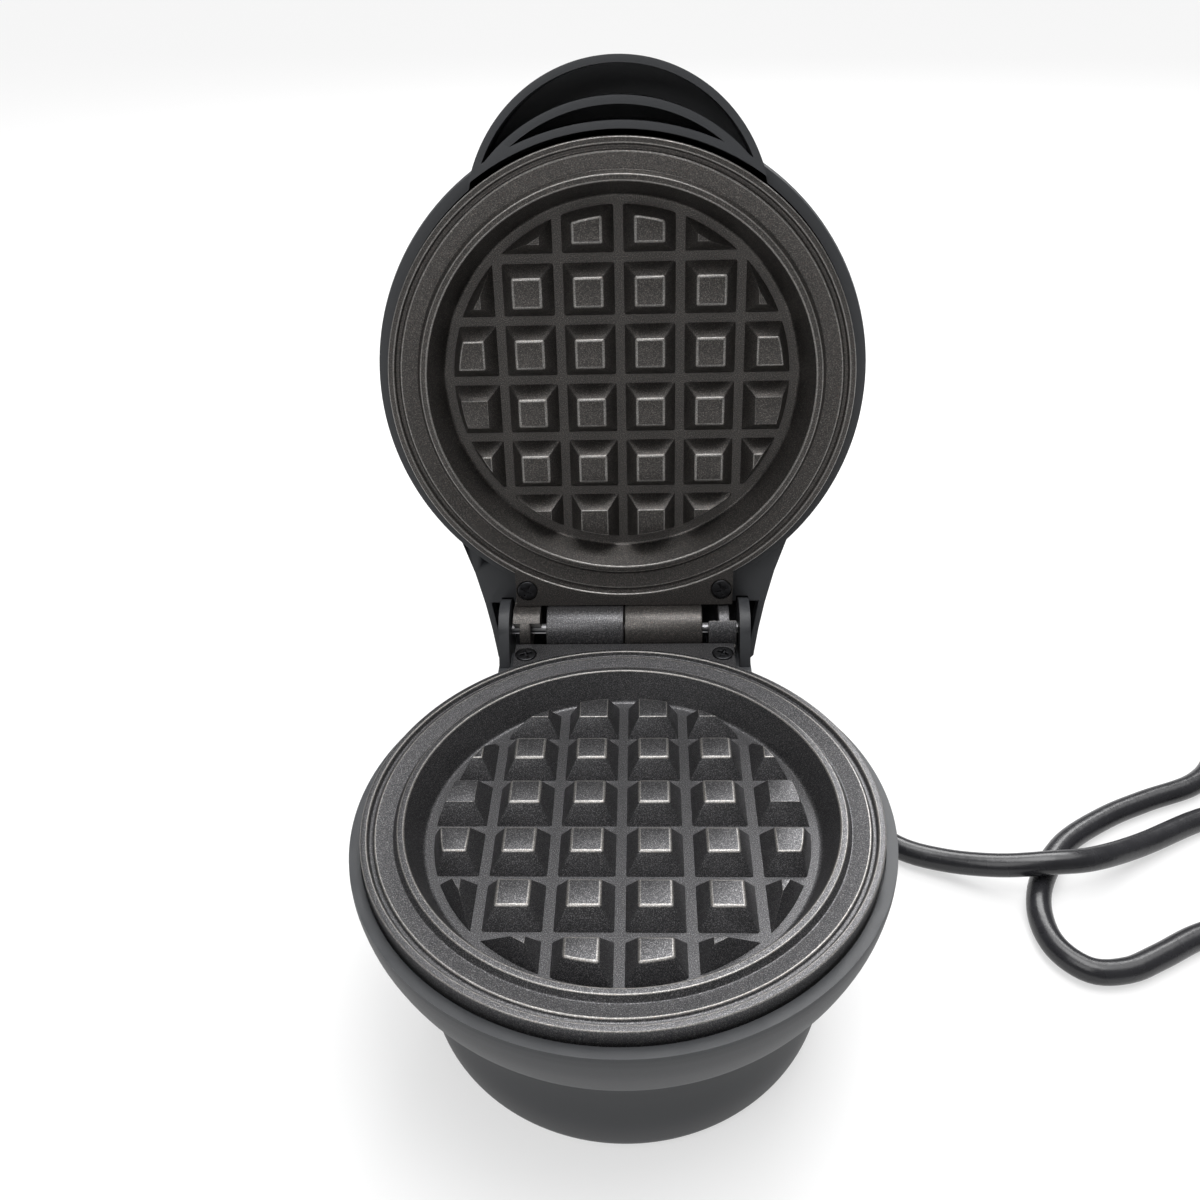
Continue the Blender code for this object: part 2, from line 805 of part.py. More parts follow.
def lower_housing():
    """Bowl on a drum, rear block with deck, hinge ears, posts and the cord hole."""
    profile = bowl_profile()
    outer = [(0, housing_top), *profile, (0, base_bottom)]
    housing = link("lower_housing", turned(outer), base_frame, housing_plastic)
    join(housing, prism(block_outline(0, housing_top - embed), -block_half_width, block_half_width, along="X"))
    for side in (-1, 1):
        low, high = sorted((side * ear_inner_x, side * ear_outer_x))
        join(housing, prism(ear_outline(), low, high, along="X"))

    inner = [(min(r, ledge_bore), z) for r, z in inset(profile, base_wall)]
    ledge_top = cover_top + seat_gap
    inner = [(r, z) for r, z in inner if ledge_top + 3 * cover_ledge_height < z < ledge_height - base_wall]
    cavity = [
        (0, housing_top + cut_overrun),
        (plate_bore, housing_top + cut_overrun),
        (plate_bore, ledge_height),
        (ledge_bore, ledge_height),
        (ledge_bore, ledge_height - base_wall),
        *inner,
        (cover_ledge_bore, ledge_top + cover_ledge_height),
        (cover_ledge_bore, ledge_top),
        (cover_bore, ledge_top),
        (cover_bore, base_bottom - cut_overrun),
        (0, base_bottom - cut_overrun),
    ]
    inside = block_half_width - block_wall
    cut(housing, prism(block_outline(block_wall, housing_top - deck_thickness), -inside, inside, along="X"))
    slot_top = housing_top - deck_thickness
    slot_low = (-lead_slot_half_width, block_back - 2 * block_wall, slot_top - lead_slot_height)
    slot_high = (lead_slot_half_width, block_back + cut_overrun, slot_top)
    cut(housing, box(slot_low, slot_high))
    plate_screw_posts(housing)
    cut(housing, turned(cavity))
    plate_screw_holes(housing)
    for angle in cover_screw_angles():
        x, y = cover_screw_circle * math.cos(angle), cover_screw_circle * math.sin(angle)
        top = ledge_top + cover_post_length
        join(housing, rod((x, y, ledge_top), (x, y, top), cover_post_radius))
        rib_high = (cover_post_rib, lead_radius, top)
        rib = box((0, -lead_radius, ledge_top + cover_ledge_height / 2), rib_high)
        rib.transform(Matrix.Translation((x, y, 0)) @ Matrix.Rotation(angle, 4, "Z"))
        join(housing, rib)
        shank = screw_shank_radius + seat_gap
        hole_top = ledge_top + cover_screw_length
        cut(housing, rod((x, y, ledge_top - cut_overrun), (x, y, hole_top), shank, steps=tiny_steps))

    pin_hole = ear_inner_x + pin_end_depth + seat_gap
    cut(housing, rod((-pin_hole, hinge_y, hinge_z), (pin_hole, hinge_y, hinge_z), pin_radius + running_gap))
    wall_inside = drum_radius - 3 * base_wall
    neck = relief_neck_radius + seat_gap
    cut(housing, rod((0, wall_inside, cord_exit_z), (0, drum_radius + cut_overrun, cord_exit_z), neck))
    return housing


def cover_screw_angles():
    return [math.radians(90 + 180 / cover_screw_count + 360 * i / cover_screw_count) for i in range(cover_screw_count)]


def base_cover():
    """The flat cover in the base's underside, with vents and screw holes."""
    radius = cover_bore - cover_rim_gap
    cover = link(
        "base_cover",
        turned([(0, cover_top), (radius, cover_top), (radius, cover_underside), (0, cover_underside)]),
        base_frame,
        bright_steel,
    )
    low, high = cover_underside - cut_overrun, cover_top + cut_overrun
    holes = []
    for angle in cover_screw_angles():
        x, y = cover_screw_circle * math.cos(angle), cover_screw_circle * math.sin(angle)
        holes.append(rod((x, y, low), (x, y, high), screw_shank_radius + seat_gap, steps=tiny_steps))
    for i in range(vent_count):
        angle = 2 * math.pi * i / vent_count
        x, y = vent_circle * math.cos(angle), vent_circle * math.sin(angle)
        holes.append(rod((x, y, low), (x, y, high), vent_radius, steps=tiny_steps))
    cut(cover, group(holes))
    return cover


def base_cover_screws():
    """The screws that hold the cover, heads down."""
    screw = cross_screw(cover_screw_head_radius, cover_screw_length - cover_thickness)
    screw.transform(Matrix.Rotation(math.pi, 4, "X"))
    for number, angle in enumerate(cover_screw_angles(), 1):
        place = (
            cover_screw_circle * math.cos(angle),
            cover_screw_circle * math.sin(angle),
            cover_underside - seat_gap,
        )
        mesh = placed(screw, Matrix.Translation(place))
        link(f"base_cover_screw_{number}", mesh, base_frame, bright_steel)


def foot_angles():
    return [math.radians(90 + d) for d in (foot_rear_deg, -foot_rear_deg, 180 - foot_front_deg, 180 + foot_front_deg)]


def rubber_feet():
    """Four feet on the cover, down to the table."""
    for number, angle in enumerate(foot_angles(), 1):
        x, y = foot_circle * math.cos(angle), foot_circle * math.sin(angle)
        mesh = rod((x, y, table), (x, y, cover_underside - seat_gap), foot_radius)
        link(f"rubber_foot_{number}", mesh, base_frame, foot_rubber)


def hinge_pin():
    """One pin through both barrels and both knuckles, its ends in the ears."""
    end = ear_inner_x + pin_end_depth
    return link(
        "hinge_pin", rod((-end, hinge_y, hinge_z), (end, hinge_y, hinge_z), pin_radius), base_frame, bright_steel
    )


# Lid housing


def neck_plan(wall):
    """The neck's plan outline, moved inwards by a wall."""
    back = neck_back - wall
    places = (neck_front, neck_root_y, neck_waist_y, back - neck_corner)
    widths = [(block_half_width + neck_side_wrap) * share - wall for share in neck_width_shares]
    half = [*zip(widths, places), (widths[-1] - neck_corner, back)]
    return half + [(-x, y) for x, y in reversed(half)]


def neck_side(wall, rim, rim_back, lip):
    """The neck's side outline in (y, z), moved inwards by a wall."""
    points = [(neck_front, rim), (rim_back, rim), (rim_back, lip), (neck_back - wall, lip)]
    for depth, reach in zip(neck_depth_shares, neck_reach_shares):
        y = neck_front + (neck_back - wall - neck_front) * reach
        points.append((y, housing_top - lid_depth * depth + wall))
    return points


def neck_solid(wall, rim, rim_back, lip, frame):
    """The neck as its side outline clipped by its plan outline."""
    half = block_half_width * neck_width_shares[0] + cover_bore
    side = neck_side(wall, rim, rim_back, lip)
    solid = bpy.data.objects.new("neck", prism(side, -half, half, along="X"))
    cutters.objects.link(solid)
    solid.parent = frame
    solid.hide_render = True
    solid.display_type = "WIRE"
    intersect(solid, prism(neck_plan(wall), -lid_depth, lid_depth))
    return solid


def add_boolean(piece, tool, operation):
    """A Boolean with a tool object that has modifiers of its own."""
    step = piece.modifiers.new(operation.lower(), "BOOLEAN")
    step.operation = operation
    step.solver = "EXACT"
    step.object = tool


def handle_pocket(outer_radius, outer_y, island_radius, island_y):
    """A crescent pocket in the handle, outside the rib round the plate."""
    floor = handle_rim - handle_pocket_depth
    top = handle_rim + cut_overrun
    pocket = bpy.data.objects.new("pocket", rod((0, -outer_y, floor), (0, -outer_y, top), outer_radius, steps=round_steps))
    cutters.objects.link(pocket)
    pocket.parent = lid_frame
    pocket.hide_render = True
    pocket.display_type = "WIRE"
    low, high = floor - cut_overrun, top + cut_overrun
    cut(pocket, rod((0, 0, low), (0, 0, high), inner_rib_radius, steps=round_steps))
    if island_radius:
        cut(pocket, rod((0, -island_y, low), (0, -island_y, high), island_radius, steps=round_steps))
    return pocket


def lid_housing():
    """Dome, neck over the hinge and hollow handle with two ribs."""
    profile = [
        (rim_radius * r, housing_top - lid_depth * d) for r, d in zip(dome_radius_shares, dome_depth_shares)
    ]
    housing = link("lid_housing", turned([(0, housing_top), *profile]), lid_frame, housing_plastic)
    handle = [
        (handle_radius * r, handle_rim - handle_depth * d) for r, d in zip(handle_radius_shares, handle_depth_shares)
    ]
    handle_mesh = turned([(0, handle_rim), *handle])
    handle_mesh.transform(Matrix.Translation((0, -handle_centre_y, 0)))
    join(housing, handle_mesh)
    add_boolean(housing, neck_solid(0, housing_top - embed, neck_lip_y, neck_lip, lid_frame), "UNION")

    inner = [(min(r, ledge_bore), z) for r, z in inset(profile, lid_wall)]
    inner = [(r, z) for r, z in inner if z < ledge_height - lid_wall]
    cavity = [
        (0, handle_rim + cut_overrun),
        (rib_bore, handle_rim + cut_overrun),
        (rib_bore, housing_top),
        (plate_bore, housing_top),
        (plate_bore, ledge_height),
        (ledge_bore, ledge_height),
        (ledge_bore, ledge_height - lid_wall),
        *inner,
    ]
    deck_underside = housing_top - deck_thickness
    neck_cavity = neck_solid(lid_wall, deck_underside, lid_deck_back, neck_lip + cut_overrun, lid_frame)
    add_boolean(housing, neck_cavity, "DIFFERENCE")
    plate_screw_posts(housing)
    cut(housing, turned(cavity))
    ear_room = ear_radius + ear_clearance
    for side in (-1, 1):
        start = (side * (ear_inner_x - running_gap), hinge_y, hinge_z)
        end = (side * (ear_outer_x + running_gap), hinge_y, hinge_z)
        cut(housing, rod(start, end, ear_room, steps=round_steps))
    outer_pocket = handle_pocket(
        handle_radius - handle_wall, handle_centre_y, middle_rib_radius, middle_rib_centre_y
    )
    add_boolean(housing, outer_pocket, "DIFFERENCE")
    inner_pocket = handle_pocket(middle_rib_radius - middle_rib_wall, middle_rib_centre_y, 0, 0)
    add_boolean(housing, inner_pocket, "DIFFERENCE")
    plate_screw_holes(housing)
    lens_bore = lens_radius + seat_gap
    dome_top = housing_top - lid_depth
    cut(housing, rod((0, lens_y, dome_top - cut_overrun), (0, lens_y, dome_top + 4 * lid_wall), lens_bore))
    return housing


# Heating elements and what hangs under the plates


def element_route():
    """The element's ring with both ends bent away from the plate."""
    gap = math.radians(element_gap_deg)
    count = 22
    ring = []
    for i in range(count):
        angle = math.pi / 2 + gap + (2 * math.pi - 2 * gap) * i / (count - 1)
        ring.append(Vector((element_ring_radius * math.cos(angle), element_ring_radius * math.sin(angle), element_z)))
    route = []
    for end, inward in ((ring[0], ring[0] - ring[1]), (ring[-1], ring[-1] - ring[-2])):
        along = inward.normalized()
        leg = []
        for degrees in (30, 60, 90):
            turn = math.radians(degrees)
            leg.append(
                end
                + along * (element_bend_radius * math.sin(turn))
                - Vector((0, 0, element_bend_radius * (1 - math.cos(turn))))
            )
        leg.append(leg[-1] - Vector((0, 0, element_leg)))
        route.append(leg)
    return list(reversed(route[0])) + ring + route[1]


def element_ends():
    route = element_route()
    return route[0], route[-1]


def heating_element(name, frame):
    return link(name, tube(element_route(), element_radius), frame, bright_steel)


def heat_reflector(name, frame):
    """A shallow dish under the element, with holes for the stud and the element's legs."""
    top = -plate_wall - seat_gap
    floor_top = reflector_z
    outer = reflector_radius
    profile = [
        (0, floor_top),
        (outer - reflector_slope, floor_top),
        (outer, top),
        (outer + reflector_wall, top),
        (outer - reflector_slope + reflector_wall, floor_top - reflector_wall),
        (0, floor_top - reflector_wall),
    ]
    dish = link(name, turned(profile, round_steps // 2), frame, sheet_aluminium)
    low, high = floor_top - cut_overrun, floor_top + cut_overrun
    holes = [rod((0, 0, low), (0, 0, high), stud_radius + reflector_hole_gap, steps=tiny_steps)]
    for end in element_ends():
        holes.append(rod((end.x, end.y, low), (end.x, end.y, high), reflector_leg_hole_radius, steps=small_steps))
    cut(dish, group(holes))
    return dish


def reflector_nut(name, frame):
    """A hexagon nut on the plate's stud."""
    top = reflector_z - reflector_wall - seat_gap
    nut = link(name, rod((0, 0, top - nut_thickness), (0, 0, top), nut_radius, steps=6), frame, bright_steel)
    bore = stud_radius + running_gap
    cut(nut, rod((0, 0, top - nut_thickness - cut_overrun), (0, 0, top + cut_overrun), bore, steps=tiny_steps))
    return nut


def thermostat_tabs():
    """The outer ends of the thermostat's two tabs."""
    z = reflector_z - reflector_wall - seat_gap - thermostat_height / 2
    reach = thermostat_radius + thermostat_tab_length
    return Vector((thermostat_x, thermostat_y - reach, z)), Vector((thermostat_x, thermostat_y + reach, z))


def thermostat():
    """A round bimetal thermostat under the reflector, with a tab at each side."""
    top = reflector_z - reflector_wall - seat_gap
    bottom = top - thermostat_height
    body = link(
        "thermostat",
        rod((thermostat_x, thermostat_y, bottom), (thermostat_x, thermostat_y, top), thermostat_radius),
        base_frame,
        white_ceramic,
    )
    near, far = thermostat_tabs()
    half = thermostat_tab_width / 2
    thin = thermostat_tab_thickness / 2
    join(body, box((near.x - half, near.y, near.z - thin), (far.x + half, far.y, far.z + thin)))
    return body


def fuse_ends():
    z = reflector_z - reflector_wall - seat_gap - fuse_radius
    return Vector((fuse_x, fuse_y - fuse_length / 2, z)), Vector((fuse_x, fuse_y + fuse_length / 2, z))


def thermal_fuse():
    near, far = fuse_ends()
    return link("thermal_fuse", rod(near, far, fuse_radius, steps=tiny_steps), base_frame, white_ceramic)


def terminal_block():
    """A small terminal block standing on the cover, with two clamp screws."""
    bottom = cover_top + seat_gap
    top = bottom + block_body_height
    half = block_body_width / 2
    low = (-half, block_body_y - block_body_depth / 2, bottom)
    high = (half, block_body_y + block_body_depth / 2, top)
    body = link("terminal_block", box(low, high), base_frame, white_ceramic)
    for side in (-1, 1):
        x = side * lead_spacing
        start = (x, block_body_y, top - embed)
        join(body, rod(start, (x, block_body_y, top + block_screw_height), block_screw_radius, steps=tiny_steps))
    return body


def lead(start, start_way, end, end_way, count=8):
    """A lead that leaves and meets its ends square, as a smooth curve."""
    start_way, end_way = Vector(start_way).normalized(), Vector(end_way).normalized()
    first, last = Vector(start), Vector(end)
    start, end = first + lead_radius * start_way, last - lead_radius * end_way
    reach = (end - start).length
    points = [first]
    for i in range(count):
        t = i / (count - 1)
        h1, h2 = 2 * t**3 - 3 * t**2 + 1, t**3 - 2 * t**2 + t
        h3, h4 = -2 * t**3 + 3 * t**2, t**3 - t**2
        points.append(h1 * start + h2 * reach * start_way + h3 * end + h4 * reach * end_way)
    return tube([*points, last], lead_radius)


def block_face(side, rear, level):
    """A lead's place on the terminal block's front or rear face."""
    way = 1 if rear else -1
    y = block_body_y + way * (block_body_depth / 2 + seat_gap)
    return Vector((side * lead_spacing, y, cover_top + seat_gap + block_body_height * level))


def block_top(side):
    """A lead's place on the terminal block's top, outside its clamp screw."""
    x = side * (block_body_width / 2 - 2 * lead_radius)
    return Vector((x, block_body_y, cover_top + 2 * seat_gap + block_body_height))


def relief_inner_end():
    """The strain relief's inner face, where the mains leads leave it."""
    wall_inside = math.sqrt((waist_radius - base_wall) ** 2 - relief_flange_radius**2)
    return wall_inside - seat_gap - relief_flange_thickness


def mains_leads():
    """Two leads from the strain relief to the terminal block."""
    for name, way in (("live", -1), ("neutral", 1)):
        start = Vector((way * 2 * lead_radius, relief_inner_end() - seat_gap, cord_exit_z))
        mesh = lead(start, (0, -1, 0), block_face(way, True, block_low_share), (0, -1, 0))
        link(f"mains_lead_{name}", mesh, base_frame, lead_sleeving)


def lower_heater_leads():
    """Block to element, and block by way of fuse and thermostat to the element's other end."""
    down = Vector((0, 0, -1))
    left_end, right_end = sorted(element_ends(), key=lambda end: end.x)
    fuse_near, fuse_far = fuse_ends()
    tab_near, tab_far = thermostat_tabs()
    step = Vector((0, seat_gap, 0))
    below = seat_gap * down
    leads = {
        "block_to_element": lead(right_end + below, down, block_top(1), down),
        "element_to_thermostat": lead(left_end + below, down, tab_far + step, (0, -1, 0)),
        "thermostat_to_fuse": lead(fuse_near - step, (0, -1, 0), tab_near - step, (0, 1, 0)),
        "fuse_to_block": lead(fuse_far + step, (0, 1, 0), block_face(block_near_share, False, block_high_share), (0, 1, 0)),
    }
    for name, mesh in leads.items():
        link(f"lead_{name}", mesh, base_frame, lead_sleeving)


def sleeve_knots():
    """The lead sleeve's way from the base's block, behind the hinge barrel, into the lid."""
    pairs = zip(sleeve_y_shares, sleeve_z_shares)
    return [Vector((0, hinge_y + barrel_radius * y, hinge_z + barrel_radius * z)) for y, z in pairs]


def hinge_lead_sleeve():
    """The flexible sleeve with the lid's leads, from base to lid behind the hinge."""
    route = smooth_route(sleeve_knots(), 16)
    return link("hinge_lead_sleeve", tube(route, sleeve_radius), base_frame, foot_rubber)


def lid_feed_leads():
    """Two leads from the terminal block to the sleeve at the hinge."""
    start = sleeve_knots()[0]
    way = sleeve_knots()[1] - start
    for name, side in (("left", -1), ("right", 1)):
        end = start - way.normalized() * seat_gap + Vector((side * (lead_radius + seat_gap / 2), 0, 0))
        mesh = lead(block_face(block_far_share * side, True, block_mid_share), (0, 1, 0), end, way)
        link(f"lid_feed_lead_{name}", mesh, base_frame, lead_sleeving)


def to_lid_frame(point):
    """A point of the base frame in the lid's frame at rest."""
    matrix = Matrix.Translation((0, hinge_y, hinge_z)) @ Matrix.Rotation(-math.radians(open_deg), 4, "X")
    matrix = matrix @ Matrix.Translation((0, -hinge_y, hinge_z)) @ Matrix.Rotation(math.pi, 4, "Y")
    return matrix.inverted() @ point


def upper_heater_leads():
    """From the sleeve's end in the lid to the upper element's two ends and to the lamp."""
    end = to_lid_frame(sleeve_knots()[-1])
    way = (end - to_lid_frame(sleeve_knots()[-2])).normalized()
    down = Vector((0, 0, -1))
    left_end, right_end = sorted(element_ends(), key=lambda leg: leg.x)
    side = Vector((lead_radius + seat_gap / 2, 0, 0))
    start = end + way * seat_gap
    for name, begin, leg in (("left", start - side, left_end), ("right", start + side, right_end)):
        mesh = lead(begin, way, leg + seat_gap * down, -down)
        link(f"upper_heater_lead_{name}", mesh, lid_frame, lead_sleeving)


def dome_inside_z():
    return housing_top - lid_depth + lid_wall


def indicator_lens():
    """A round lens in the dome, its flange inside."""
    outside = housing_top - lid_depth - lens_proud
    flange_low = dome_inside_z() + lid_wall
    flange_high = flange_low + lens_flange_thickness
    profile = [
        (0, flange_high),
        (lens_flange_radius, flange_high),
        (lens_flange_radius, flange_low),
        (lens_radius, flange_low),
        (lens_radius, outside + lens_proud / 2),
        (lens_radius - lens_proud / 2, outside),
        (0, outside),
    ]
    mesh = turned(profile, small_steps)
    mesh.transform(Matrix.Translation((0, lens_y, 0)))
    return link("indicator_lens", mesh, lid_frame, lens_amber)


def indicator_lamp():
    """A neon lamp standing on the lens."""
    low = dome_inside_z() + lid_wall + lens_flange_thickness + seat_gap
    mesh = rod((0, lens_y, low), (0, lens_y, low + lamp_length), lamp_radius, steps=tiny_steps)
    return link("indicator_lamp", mesh, lid_frame, lamp_glass)


# Mains cord


def strain_relief():
    """Flange inside, neck through the wall, collar and taper outside."""
    inner = relief_inner_end()
    flange_end = inner + relief_flange_thickness
    collar = drum_radius + seat_gap
    tip = collar + relief_length
    profile = [
        (0, tip),
        (relief_tip_radius, tip),
        (relief_collar_radius - seat_gap, collar + relief_collar_thickness),
        (relief_collar_radius, collar + relief_collar_thickness - seat_gap),
        (relief_collar_radius, collar),
        (relief_neck_radius, collar),
        (relief_neck_radius, flange_end),
        (relief_flange_radius, flange_end),
        (relief_flange_radius, inner),
        (0, inner),
    ]
    mesh = turned(profile, small_steps)
    mesh.transform(Matrix.Translation((0, 0, cord_exit_z)) @ Matrix.Rotation(-math.pi / 2, 4, "X"))
    return link("cord_strain_relief", mesh, base_frame, cord_pvc)


cord_rest = table + cord_radius
relief_tip_y = drum_radius + seat_gap + relief_length


def cord_run_knots():
    """The free cord from the strain relief to the coil, in the base's frame."""
    start = relief_tip_y + seat_gap
    hump = cord_rest + cord_crossing_rise
    coil_start = coil_route()[0]
    lie = cord_rest
    return [
        (0, start, cord_exit_z),
        (0, start + 2 * cord_radius, cord_exit_z),
        (0.0030, 0.0930, -0.0405),
        (0.0110, 0.1025, -0.0440),
        (0.0230, 0.1070, -0.0470),
        (0.0370, 0.1050, lie),
        (0.0490, 0.0960, lie),
        (0.0575, 0.0830, lie),
        (0.0625, 0.0680, lie),
        (0.0685, 0.0530, lie),
        (0.0780, 0.0405, lie),
        (0.0900, 0.0340, lie + 0.0012),
        (0.1040, 0.0290, lie + 0.0045),
        (0.1180, 0.0275, hump),
        (0.1300, 0.0300, hump - 0.0012),
        (0.1470, 0.0390, lie + 0.0020),
        (0.1690, 0.0508, lie),
        (0.1860, 0.0552, lie),
        (0.2040, 0.0562, lie),
        (0.2230, 0.0602, lie),
        (0.2370, 0.0725, lie),
        (0.2405, 0.0890, lie),
        (0.2320, 0.1035, lie),
        (0.2160, 0.1090, lie),
        (0.2010, 0.1035, lie),
        (0.1915, 0.0910, lie),
        (0.1840, 0.0765, lie),
        (0.1735, 0.0660, lie),
        (0.1562, 0.0587, lie),
        (0.1416, 0.0516, lie),
        (0.1266, 0.0412, lie),
        (0.1165, 0.0280, lie),
        (0.1122, 0.0160, lie),
        (0.1130, 0.0050, lie),
        (0.1195, -0.0022, lie),
        (0.1290, -0.0022, lie),
        (0.1390, 0.0022, lie),
        (0.1517, 0.0087, lie),
        (0.1660, 0.0130, lie),
        (0.1810, 0.0142, lie),
        (coil_start.x - 2 * cord_radius - seat_gap, coil_start.y, lie),
        (coil_start.x - seat_gap, coil_start.y, lie),
    ]


def coil_route():
    """The coil: in along the table, up a layer where the spiral turns, and out again on top."""
    steps = round(coil_turns * coil_points_per_turn)
    climb = coil_points_per_turn // 2
    first = (steps - climb) / 2
    outer = coil_mid_radius + coil_pitch * coil_turns / 4
    points = []
    for i in range(steps + 1):
        angle = math.pi / 2 - 2 * math.pi * i / coil_points_per_turn
        back = abs(i - steps / 2)
        radius = outer - coil_pitch * (steps / 2 - back) / coil_points_per_turn
        rise = min(max((i - first) / climb, 0), 1)
        rise = rise * rise * (3 - 2 * rise)
        points.append(
            Vector(
                (
                    coil_centre[0] + radius * math.cos(angle),
                    coil_centre[1] + radius * math.sin(angle),
                    cord_rest + coil_layer * rise,
                )
            )
        )
    aside = Vector((-2 * cord_radius, 0, 0))
    return [points[0] + aside, *points, points[-1] + aside]


def least_gap(points, skip):
    """The smallest clear gap between stretches of one tube that aren't neighbours."""
    gap = 1
    for i, a in enumerate(points):
        for b in points[i + skip :]:
            gap = min(gap, (a - b).length)
    return gap - 2 * cord_radius


def cord_tail_knots():
    """From the coil's top layer down to the plug on the table."""
    end = coil_route()[-1]
    plug = plug_tail_end()
    way = plug_way()
    return [
        (end.x - seat_gap, end.y, end.z),
        (end.x - seat_gap - 2 * cord_radius, end.y, end.z),
        (end.x - tail_bend_reach, end.y - tail_bend_aside, cord_rest + coil_layer / 2),
        tuple(plug - way * 2 * cord_radius - way * seat_gap),
        tuple(plug - way * seat_gap),
    ]


def plug_way():
    """The plug's direction, from its tail to its blades."""
    return Vector((-0.94, -0.34, 0)).normalized()


def plug_tail_end():
    """Where the cord enters the plug, lying on the table."""
    end = coil_route()[-1]
    return Vector((end.x - tail_reach, end.y - tail_aside, table + plug_height / 2))


def plug_matrix():
    way = plug_way()
    turn = Matrix.Rotation(math.atan2(way.y, way.x), 4, "Z")
    return Matrix.Translation(plug_tail_end()) @ turn


def plug_body():
    """A moulded plug: a tapered block with a round tail, lying flat."""
    half_w, half_h = plug_width / 2, plug_height / 2
    start, end = plug_tail_length, plug_tail_length + plug_length
    shoulder = plug_length / 3
    outline = [
        (start, -plug_tail_radius),
        (start + shoulder, -half_w),
        (end, -half_w),
        (end, half_w),
        (start + shoulder, half_w),
        (start, plug_tail_radius),
    ]
    body = link("plug_body", prism(outline, -half_h, half_h), base_frame, cord_pvc)
    body.matrix_local = plug_matrix()
    tail = rod((0, 0, 0), (start + shoulder / 2, 0, 0), relief_tip_radius, plug_tail_radius, tiny_steps)
    join(body, tail).matrix_local = plug_matrix()
    return body


def plug_blades():
    """Two flat blades in front of the plug's face."""
    start = plug_tail_length + plug_length + seat_gap
    for name, side in (("left", -1), ("right", 1)):
        y = side * blade_spacing / 2
        low = (start, y - blade_thickness / 2, -blade_width / 2)
        high = (start + blade_length, y + blade_thickness / 2, blade_width / 2)
        blade = link(f"plug_blade_{name}", box(low, high), base_frame, bright_steel)
        blade.matrix_local = plug_matrix()


def cord():
    """The free stretch, the coil and the tail, which meet face to face."""
    run = smooth_route(cord_run_knots(), 72)
    link("cord_run", tube(run, cord_radius, 2), base_frame, cord_pvc)
    coil = coil_route()
    link("cord_coil", tube(coil, cord_radius), base_frame, cord_pvc)
    tail = smooth_route(cord_tail_knots(), 8)
    link("cord_tail", tube(tail, cord_radius, 2), base_frame, cord_pvc)
    total = length_of(run) + length_of(coil) + length_of(tail)
    print("cord length m", round(total, 4), "coil", round(length_of(coil), 4))
    print("coil's least gap to itself mm", round(1000 * least_gap(coil, coil_points_per_turn // 3), 2))
    print("run's least gap to itself mm", round(1000 * least_gap(run, 6), 2))


def build():
    cooking_plate("lower_cooking_plate", base_frame)
    cooking_plate("upper_cooking_plate", lid_frame)
    plate_screws("lower", base_frame)
    plate_screws("upper", lid_frame)
    hinge_pin()
    lower_housing()
    base_cover()
    base_cover_screws()
    rubber_feet()
    lid_housing()
    heating_element("lower_heating_element", base_frame)
    heating_element("upper_heating_element", lid_frame)
    heat_reflector("lower_heat_reflector", base_frame)
    heat_reflector("upper_heat_reflector", lid_frame)
    reflector_nut("lower_reflector_nut", base_frame)
    reflector_nut("upper_reflector_nut", lid_frame)
    thermostat()
    thermal_fuse()
    terminal_block()
    mains_leads()
    lower_heater_leads()
    hinge_lead_sleeve()
    lid_feed_leads()
    upper_heater_leads()
    indicator_lens()
    indicator_lamp()
    strain_relief()
    cord()
    plug_body()
    plug_blades()


build()
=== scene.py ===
"""Looks of the mini waffle maker: fine shapes, finishes, cord, camera, light and floor.

Metres, +Z up. The shapes repeat the construction's sizes. They are made in the frame of a
cooking plate, whose origin is the middle of its grid floor, and stand for the plain solids.
"""
import json
import math

import bmesh
import bpy
from mathutils import Matrix, Vector


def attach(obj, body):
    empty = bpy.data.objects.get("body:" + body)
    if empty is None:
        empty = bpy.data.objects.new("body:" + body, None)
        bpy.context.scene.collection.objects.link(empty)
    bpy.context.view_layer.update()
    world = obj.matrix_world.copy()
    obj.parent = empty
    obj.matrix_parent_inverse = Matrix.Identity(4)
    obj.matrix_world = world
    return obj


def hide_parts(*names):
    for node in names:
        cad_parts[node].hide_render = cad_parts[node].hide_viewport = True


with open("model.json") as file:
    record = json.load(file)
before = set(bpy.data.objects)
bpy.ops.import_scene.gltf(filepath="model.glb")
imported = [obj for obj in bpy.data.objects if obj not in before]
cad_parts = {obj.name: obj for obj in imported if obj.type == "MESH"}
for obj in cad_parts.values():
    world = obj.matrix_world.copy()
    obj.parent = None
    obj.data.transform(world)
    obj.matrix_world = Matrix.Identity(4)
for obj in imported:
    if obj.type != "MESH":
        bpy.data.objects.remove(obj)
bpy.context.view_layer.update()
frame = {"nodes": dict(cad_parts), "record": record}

# Clearances
seat_gap = 0.0003
cut_overrun = 0.0020
join_drop = 0.0005

